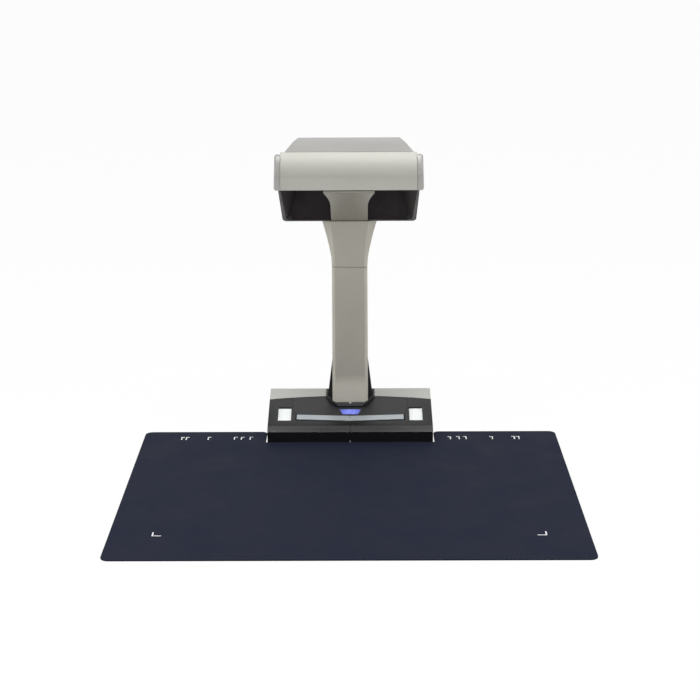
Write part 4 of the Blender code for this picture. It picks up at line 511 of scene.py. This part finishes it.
def coated_glass(name, base):
    """Coated lens: dark glass with a violet bloom."""
    finish = Finish(name, specular=0.8, coat=0.6)
    bloom = finish.noise(300)
    finish.tone(base, change=0.3, source=bloom)
    finish.roughness(bloom, low=0.02, high=0.07)
    finish.bump(bloom, depth=0.000004)
    return finish.material


# Pieces


def dress(material, *names):
    """Put a finish on CAD nodes in place of their plain slot colour."""
    for name in names:
        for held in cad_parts[name].material_slots:
            held.material = material


def soften(width, *names, crease=None):
    """Round the edges of CAD nodes with modifiers, which leave the nodes' own vertices as they are.

    Edges that run level at the crease's height stay sharp.
    """
    for name in names:
        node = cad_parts[name]
        mesh = node.data
        if "custom_normal" in mesh.attributes:
            mesh.attributes.remove(mesh.attributes["custom_normal"])
        mesh.shade_smooth()
        for edge in mesh.edges:
            heights = [mesh.vertices[index].co.z for index in edge.vertices]
            edge.use_edge_sharp = crease is not None and all(abs(z - crease) < CREASE_REACH for z in heights)
        weld = node.modifiers.new("Weld", "WELD")
        weld.merge_threshold = WELD_REACH
        edges = node.modifiers.new("Edges", "BEVEL")
        edges.width = width
        edges.segments = EDGE_STEPS
        edges.limit_method = "ANGLE"
        edges.angle_limit = EDGE_ANGLE
        normals = node.modifiers.new("Normals", "WEIGHTED_NORMAL")
        normals.weight = FLAT_FACE_WEIGHT
        normals.keep_sharp = True


def plates(name, outlines, place, depth, material, body):
    """One piece of thin closed plates.

    Each outline lies in the XY plane of the place, and its plate reaches depth above and below that plane.
    """
    work = bmesh.new()
    for outline in outlines:
        low = [work.verts.new(place @ Vector((x, y, -depth))) for x, y in outline]
        high = [work.verts.new(place @ Vector((x, y, depth))) for x, y in outline]
        work.faces.new(high)
        work.faces.new(low[::-1])
        for index, corner in enumerate(low):
            after = (index + 1) % len(low)
            work.faces.new((corner, low[after], high[after], high[index]))
    bmesh.ops.recalc_face_normals(work, faces=work.faces)
    mesh = bpy.data.meshes.new(name)
    work.to_mesh(mesh)
    work.free()
    mesh.materials.append(material)
    piece = bpy.data.objects.new(name, mesh)
    bpy.context.scene.collection.objects.link(piece)
    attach(piece, body)


def strip(x0, y0, x1, y1):
    """Outline of an upright rectangle."""
    return [(x0, y0), (x1, y0), (x1, y1), (x0, y1)]


def bracket(x, y, across, along, line):
    """Outline of an L: its outer corner, and the signed lengths of its legs across in X and along in Y."""
    inner_x = x + math.copysign(line, across)
    inner_y = y + math.copysign(line, along)
    end_x = x + across
    end_y = y + along
    return [(x, y), (end_x, y), (end_x, inner_y), (inner_x, inner_y), (inner_x, end_y), (x, end_y)]


def face_place(name, share):
    """Matrix on the middle line of a CAD node's upper face, with Z along the face's normal.

    share picks its place between the node's front and rear.
    """
    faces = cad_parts[name].data.polygons
    upper = max(faces, key=lambda face: face.area if face.normal.z > UPWARD else 0)
    low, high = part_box(name)
    y = low.y + share * (high.y - low.y)
    normal = upper.normal
    z = upper.center.z - (y - upper.center.y) * normal.y / normal.z
    tilt = math.atan2(-normal.y, normal.z)
    return Matrix.Translation(((low.x + high.x) / 2, y, z)) @ Euler((tilt, 0, 0)).to_matrix().to_4x4()


# Operators


class Dresser:
    """Shared reading of the settings."""

    bl_options = {"REGISTER", "UNDO"}

    @staticmethod
    def settings(context):
        """Colours, sizes and stage."""
        scene = context.scene
        return scene.scanner_colours, scene.scanner_sizes, scene.scanner_stage


class SCANNER_OT_stage(Dresser, Operator):
    """Camera, lamps, white surroundings and floor"""

    bl_idname = "scanner.stage"
    bl_label = "White studio"

    def execute(self, context):
        stage = self.settings(context)[2]
        self.camera(context, stage)
        self.lamps(context, stage)
        self.world(context, stage)
        self.floor(context, stage)
        context.scene.view_settings.view_transform = "Standard"
        return {"FINISHED"}

    @staticmethod
    def camera(context, stage):
        """Camera at the photograph's viewpoint."""
        data = bpy.data.cameras.new("Camera")
        data.lens = stage.focal
        data.sensor_width = SENSOR_WIDTH
        data.dof.use_dof = False
        camera = bpy.data.objects.new("Camera", data)
        base_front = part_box("base_floor")[0].y
        place = Matrix.Translation((stage.camera_side, base_front - stage.camera_front, stage.camera_height))
        turn = Matrix.Rotation(stage.camera_yaw, 4, "Z")
        look = Matrix.Rotation(math.radians(90) - stage.camera_pitch, 4, "X")
        camera.matrix_world = place @ turn @ look @ Matrix.Rotation(stage.camera_roll, 4, "Z")
        context.scene.collection.objects.link(camera)
        context.scene.camera = camera

    @staticmethod
    def lamp(context, name, place, aim, size, power):
        """One rectangular soft lamp that faces its aim."""
        data = bpy.data.lights.new(name, "AREA")
        data.shape = "RECTANGLE"
        data.size, data.size_y = size
        data.energy = power
        lamp = bpy.data.objects.new(name, data)
        lamp.location = place
        lamp.rotation_euler = (aim - place).to_track_quat("-Z", "Y").to_euler()
        context.scene.collection.objects.link(lamp)

    def lamps(self, context, stage):
        """Key strip over the front, a panel straight above and one on each side."""
        rise, reach = stage.key_rise, stage.lamp_reach
        key = COLUMN_FOOT + reach * Vector((0, -math.cos(rise), math.sin(rise)))
        top = COLUMN_FOOT + Vector((0, 0, reach))
        panel = (stage.panel_size, stage.panel_size)
        self.lamp(context, "Key", key, COLUMN_FOOT, (stage.key_length, stage.key_width), stage.key_power)
        self.lamp(context, "Top", top, COLUMN_FOOT, panel, stage.top_power)
        for name, side in (("Fill_left", -1), ("Fill_right", 1)):
            place = Vector((side * stage.fill_side, -stage.fill_front, stage.fill_height))
            self.lamp(context, name, place, COLUMN_FOOT + FILL_LIFT, panel, stage.fill_power)

    @staticmethod
    def world(context, stage):
        """Surroundings that are white to look at and light the part softly."""
        world = bpy.data.worlds.new("White")
        world.use_nodes = True
        tree = world.node_tree
        back = tree.nodes["Background"]
        seen = seen_rays(tree)
        strength = tree.nodes.new("ShaderNodeMapRange")
        strength.inputs["To Min"].default_value = stage.ambient
        strength.inputs["To Max"].default_value = 1.0
        tree.links.new(seen, strength.inputs["Value"])
        tree.links.new(strength.outputs["Result"], back.inputs["Strength"])
        back.inputs["Color"].default_value = (1, 1, 1, 1)
        context.scene.world = world

    @staticmethod
    def floor(context, stage):
        """Pale floor that keeps the part's shadow and looks white elsewhere."""
        half = stage.floor_half
        work = bmesh.new()
        work.faces.new([work.verts.new((x, y, 0)) for x, y in strip(-half, -half, half, half)])
        mesh = bpy.data.meshes.new("floor")
        work.to_mesh(mesh)
        work.free()
        floor = bpy.data.objects.new("floor", mesh)
        finish = Finish("pale_floor", specular=0.2)
        cloud = finish.noise(3, detail=4)
        finish.tone(stage.floor, change=0.015, source=cloud)
        finish.roughness(cloud, low=0.85, high=0.95)
        tree = finish.tree
        glow = finish.node("Emission")
        mix = finish.node("MixShader")
        share = finish.node("Math", operation="MULTIPLY")
        share.inputs[1].default_value = stage.floor_white
        tree.links.new(seen_rays(tree), share.inputs[0])
        tree.links.new(share.outputs[0], mix.inputs[0])
        tree.links.new(finish.shader.outputs[0], mix.inputs[1])
        tree.links.new(glow.outputs[0], mix.inputs[2])
        tree.links.new(mix.outputs[0], tree.nodes["Material Output"].inputs["Surface"])
        mesh.materials.append(finish.material)
        context.scene.collection.objects.link(floor)


def seen_rays(tree):
    """1 for rays that show a surface, directly, by reflection or through glass, and 0 for rays of light."""
    path = tree.nodes.new("ShaderNodeLightPath")
    total = path.outputs["Is Camera Ray"]
    for ray in ("Is Glossy Ray", "Is Transmission Ray"):
        step = tree.nodes.new("ShaderNodeMath")
        step.operation = "MAXIMUM"
        tree.links.new(total, step.inputs[0])
        tree.links.new(path.outputs[ray], step.inputs[1])
        total = step.outputs[0]
    return total


class SCANNER_OT_head(Dresser, Operator):
    """Visor, top cover and side caps of the head"""

    bl_idname = "scanner.head"
    bl_label = "Head shell"

    def execute(self, context):
        colours, sizes, _ = self.settings(context)
        grey = ("head_top_cover", *(f"side_cap_{side}" for side in SIDES))
        dress(lacquer("visor_silver", colours.visor, rough=0.58), "visor")
        dress(moulded("head_grey", colours.top, rough=0.42, metallic=0.15), *grey)
        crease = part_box("visor")[0].z + sizes.visor_band
        soften(sizes.shell_edge, "visor", crease=crease)
        soften(sizes.shell_edge, *grey)
        return {"FINISHED"}


class SCANNER_OT_hood(Dresser, Operator):
    """Black hood under the head and the saddle that carries it"""

    bl_idname = "scanner.hood"
    bl_label = "Hood and saddle"

    def execute(self, context):
        colours, sizes, _ = self.settings(context)
        dress(polished("hood_black", colours.hood, rough=0.45, specular=0.22), "head_housing")
        # Painted shade: the saddle gets a darkened copy of the arm's silver
        dress(lacquer("saddle_painted_shade_silver", colours.saddle), "neck_saddle")
        soften(sizes.small_edge, "head_housing", "neck_saddle")
        return {"FINISHED"}


class SCANNER_OT_arm(Dresser, Operator):
    """Neck, column covers and the collar at the column's foot"""

    bl_idname = "scanner.arm"
    bl_label = "Arm"

    def execute(self, context):
        colours, sizes, _ = self.settings(context)
        silver = ("neck_cover", "arm_front_cover")
        dress(lacquer("arm_silver", colours.arm, metallic=0.1, rough=0.42), *silver)
        dress(moulded("spine_grey", colours.spine, rough=0.55, specular=0.15), "arm_rear_cover")
        dress(moulded("collar_black", colours.cover), "arm_collar")
        soften(sizes.shell_edge, *silver, "arm_rear_cover")
        soften(sizes.small_edge, "arm_collar")
        return {"FINISHED"}


class SCANNER_OT_base(Dresser, Operator):
    """Floor plate, covers and control panel of the base"""

    bl_idname = "scanner.base"
    bl_label = "Base covers"

    def execute(self, context):
        colours, sizes, _ = self.settings(context)
        covers = [f"front_cover_{side}" for side in SIDES]
        # Painted highlight: a lighter stripe between the band's heights, standing in for the light that the
        # front band catches from above
        band = (sizes.band_low, sizes.band_high, colours.band)
        dress(lacquer("base_silver", colours.base_silver), "rear_cover")
        dress(moulded("cover_black", colours.cover, rough=0.30, specular=0.31, band=band), *covers)
        dress(moulded("panel_black", colours.panel, rough=0.42, specular=0.32), "control_panel")
        dress(moulded("floor_black", colours.cover, rough=0.6), "base_floor")
        soften(sizes.shell_edge, "rear_cover")
        soften(sizes.inner_edge, *covers)
        soften(sizes.small_edge, "control_panel", "base_floor")
        return {"FINISHED"}


class SCANNER_OT_controls(Dresser, Operator):
    """Scan bar, stop key, power light, white references and the plain symbols on the keys"""

    bl_idname = "scanner.controls"
    bl_label = "Controls"

    def execute(self, context):
        colours, sizes, _ = self.settings(context)
        tiles = [f"white_reference_{side}" for side in SIDES]
        light_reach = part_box("power_light")[1].x
        glow = glowing("power_glow", colours.light, colours.light_end, light_reach, colours.glow)
        dress(lacquer("scan_bar_silver", colours.scan_bar, metallic=0.45, rough=0.3), "scan_button")
        dress(moulded("stop_key_black", colours.panel, rough=0.36), "stop_button")
        dress(glow, "power_light")
        dress(ceramic("reference_white", colours.reference), *tiles)
        soften(sizes.small_edge, "scan_button", "stop_button", "power_light", *tiles)
        self.symbols(colours, sizes)
        self.painted_shadow_line(colours, sizes)
        return {"FINISHED"}

    @staticmethod
    def painted_shadow_line(colours, sizes):
        """Painted shadow on the panel round the scan bar, in six thin plates: a dark line standing in for the
        shade in the gap round the bar.
        """
        place = face_place("scan_button", KEY_MIDDLE)
        panel = place.inverted() @ face_place("control_panel", KEY_MIDDLE).translation
        corners = {}
        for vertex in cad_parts["scan_button"].data.vertices:
            x, y, z = place.inverted() @ vertex.co
            if abs(z) < sizes.print_and_shadow_depth:
                corners.setdefault(round(x, 4), []).append(y)
        ends = sorted(corners)
        rear = [(x, max(corners[x]), 1) for x in ends]
        front = [(x, min(corners[x]), -1) for x in reversed(ends)]
        rings = []
        for reach in (sizes.painted_shadow_gap, sizes.painted_shadow_gap + sizes.painted_shadow_width):
            ring = []
            for x, y, way in rear + front:
                aside = math.copysign(reach, x) if x else 0
                ring.append((x + aside, y + way * reach))
            rings.append(ring)
        inner, outer = rings
        outlines = []
        for index, corner in enumerate(inner):
            after = (index + 1) % len(inner)
            outlines.append([corner, inner[after], outer[after], outer[index]])
        # Painted shadow: the dark finish of the line round the bar
        ink = moulded("painted_shadow_black", colours.painted_shadow_line, rough=0.6, specular=0.1)
        place = place @ Matrix.Translation((0, 0, panel.z))
        plates("bar_painted_shadow", outlines, place, sizes.print_and_shadow_depth, ink, "base")

    @staticmethod
    def symbols(colours, sizes):
        """A square on the stop key and an arrow on the scan bar."""
        half = sizes.symbol / 2
        depth = sizes.print_and_shadow_depth
        square = strip(-half, -half, half, half)
        arrow = [(-half, -half), (half, 0), (-half, half)]
        white = printed("key_print_white", colours.print_white)
        dark = printed("key_print_dark", colours.print_dark)
        on_stop = face_place("stop_button", STOP_SYMBOL_SHARE)
        on_scan = face_place("scan_button", KEY_MIDDLE)
        plates("stop_symbol", [square], on_stop, depth, white, "stop_button")
        plates("scan_symbol", [arrow], on_scan, depth, dark, "scan_button")


class SCANNER_OT_mat(Dresser, Operator):
    """Page mat with its printed corner marks and page ticks"""

    bl_idname = "scanner.mat"
    bl_label = "Page mat"

    def execute(self, context):
        colours, sizes, _ = self.settings(context)
        dress(mat_sheet("mat_cloth", colours.mat), "scan_mat")
        soften(sizes.small_edge, "scan_mat")
        self.marks(colours, sizes)
        return {"FINISHED"}

    @staticmethod
    def marks(colours, sizes):
        """Corners of the widest page near the front and a tick for each page width at the rear."""
        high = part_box("scan_mat")[1]
        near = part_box("base_floor")[0].y - sizes.corner_front
        far = high.y - sizes.tick_rear
        leg, line = sizes.corner_leg, sizes.print_line
        outlines = []
        for side in (-1, 1):
            outlines.append(bracket(side * WIDEST_PAGE / 2, near, -side * leg, leg, line))
            for width in TICK_WIDTHS:
                x = side * width / 2
                outlines.append(bracket(x, far, -side * sizes.tick_foot, -sizes.tick_length, line))
        ink = printed("mat_print_white", colours.print_white)
        place = Matrix.Translation((0, 0, high.z))
        plates("mat_marks", outlines, place, sizes.print_and_shadow_depth, ink, "mat")


class SCANNER_OT_optics(Dresser, Operator):
    """Drum, lens and reading lamps in the head"""

    bl_idname = "scanner.optics"
    bl_label = "Optics"

    def execute(self, context):
        colours, sizes, _ = self.settings(context)
        drum = ("scan_drum", *(f"drum_end_{side}" for side in SIDES))
        lamps = [f"lamp_bar_{side}" for side in SIDES]
        dress(moulded("drum_black", colours.panel, rough=0.55), *drum)
        dress(polished("barrel_black", colours.panel, rough=0.24), "lens_barrel")
        dress(coated_glass("lens_coated", colours.lens), "lens_glass")
        dress(ceramic("lamp_diffuser", colours.lamp), *lamps)
        soften(sizes.inner_edge, *drum, "lens_barrel", "lens_glass", *lamps)
        return {"FINISHED"}


class SCANNER_OT_works(Dresser, Operator):
    """Frames, ballast, boards, switches, motor, gears and harness inside"""

    bl_idname = "scanner.works"
    bl_label = "Inner works"

    def execute(self, context):
        colours, sizes, _ = self.settings(context)
        frames = ("arm_frame", "head_frame")
        boards = ("panel_board", "main_board", "sensor_board", "head_board")
        parts = (*(f"scan_switch_{side}" for side in SIDES), "stop_switch", "scan_motor")
        gears = ("drum_gear", "motor_pinion")
        bushes = [f"bush_{side}" for side in SIDES]
        dress(rolled("frame_steel", colours.steel), *frames)
        dress(rolled("ballast_steel", colours.ballast, rough=0.46), "ballast_plate")
        dress(laminate("board_green", colours.board), *boards)
        dress(moulded("component_black", colours.panel, rough=0.45), *parts)
        dress(ceramic("led_lens", colours.lamp), "power_led")
        dress(moulded("gear_nylon", colours.nylon, rough=0.46), *gears)
        dress(sintered("bush_bronze", colours.bronze), *bushes)
        dress(rubber("harness_jacket", colours.rubber), "harness")
        soften(sizes.inner_edge, *frames, "ballast_plate", *boards, *parts)
        soften(sizes.inner_edge, "power_led", *gears, *bushes, "harness")
        return {"FINISHED"}


class SCANNER_OT_fittings(Dresser, Operator):
    """Sockets at the rear, rubber feet and screws"""

    bl_idname = "scanner.fittings"
    bl_label = "Sockets, feet and screws"

    def execute(self, context):
        colours, sizes, _ = self.settings(context)
        feet = [f"foot_{corner}" for corner in CORNERS]
        screws = [f"floor_screw_{corner}" for corner in CORNERS] + [f"frame_screw_{side}" for side in SIDES]
        dress(rolled("usb_shell", colours.steel, rough=0.28), "usb_port")
        dress(moulded("dc_black", colours.panel, rough=0.4), "dc_inlet")
        dress(rubber("foot_rubber", colours.rubber), *feet)
        dress(rolled("screw_steel", colours.steel, rough=0.3, stretch=(6, 6, 1)), *screws)
        soften(sizes.inner_edge, "usb_port", "dc_inlet", *feet, *screws)
        return {"FINISHED"}


class SCANNER_PT_sidebar(Panel):
    """Steps and settings of the scanner"""

    bl_idname = "SCANNER_PT_sidebar"
    bl_label = "Book scanner"
    bl_space_type = "VIEW_3D"
    bl_region_type = "UI"
    bl_category = "Scanner"

    def draw(self, context):
        for step in STEPS:
            self.layout.operator(step.bl_idname)
        scene = context.scene
        for group in (scene.scanner_colours, scene.scanner_sizes, scene.scanner_stage):
            box = self.layout.box()
            for name in group.__annotations__:
                box.prop(group, name)


STEPS = (
    SCANNER_OT_stage,
    SCANNER_OT_head,
    SCANNER_OT_hood,
    SCANNER_OT_arm,
    SCANNER_OT_base,
    SCANNER_OT_controls,
    SCANNER_OT_mat,
    SCANNER_OT_optics,
    SCANNER_OT_works,
    SCANNER_OT_fittings,
)
GROUPS = {
    "scanner_colours": ScannerColours,
    "scanner_sizes": ScannerSizes,
    "scanner_stage": ScannerStage,
}
CLASSES = (*GROUPS.values(), *STEPS, SCANNER_PT_sidebar)


def register():
    """Add the classes and the scene's settings."""
    for made in CLASSES:
        bpy.utils.register_class(made)
    for name, group in GROUPS.items():
        setattr(bpy.types.Scene, name, PointerProperty(type=group))


def unregister():
    """Take the settings and the classes away again."""
    for name in GROUPS:
        delattr(bpy.types.Scene, name)
    for made in reversed(CLASSES):
        bpy.utils.unregister_class(made)


def main():
    """Dress the part step by step."""
    register()
    for step in STEPS:
        group, name = step.bl_idname.split(".")
        getattr(getattr(bpy.ops, group), name)()


if __name__ == "__main__":
    main()
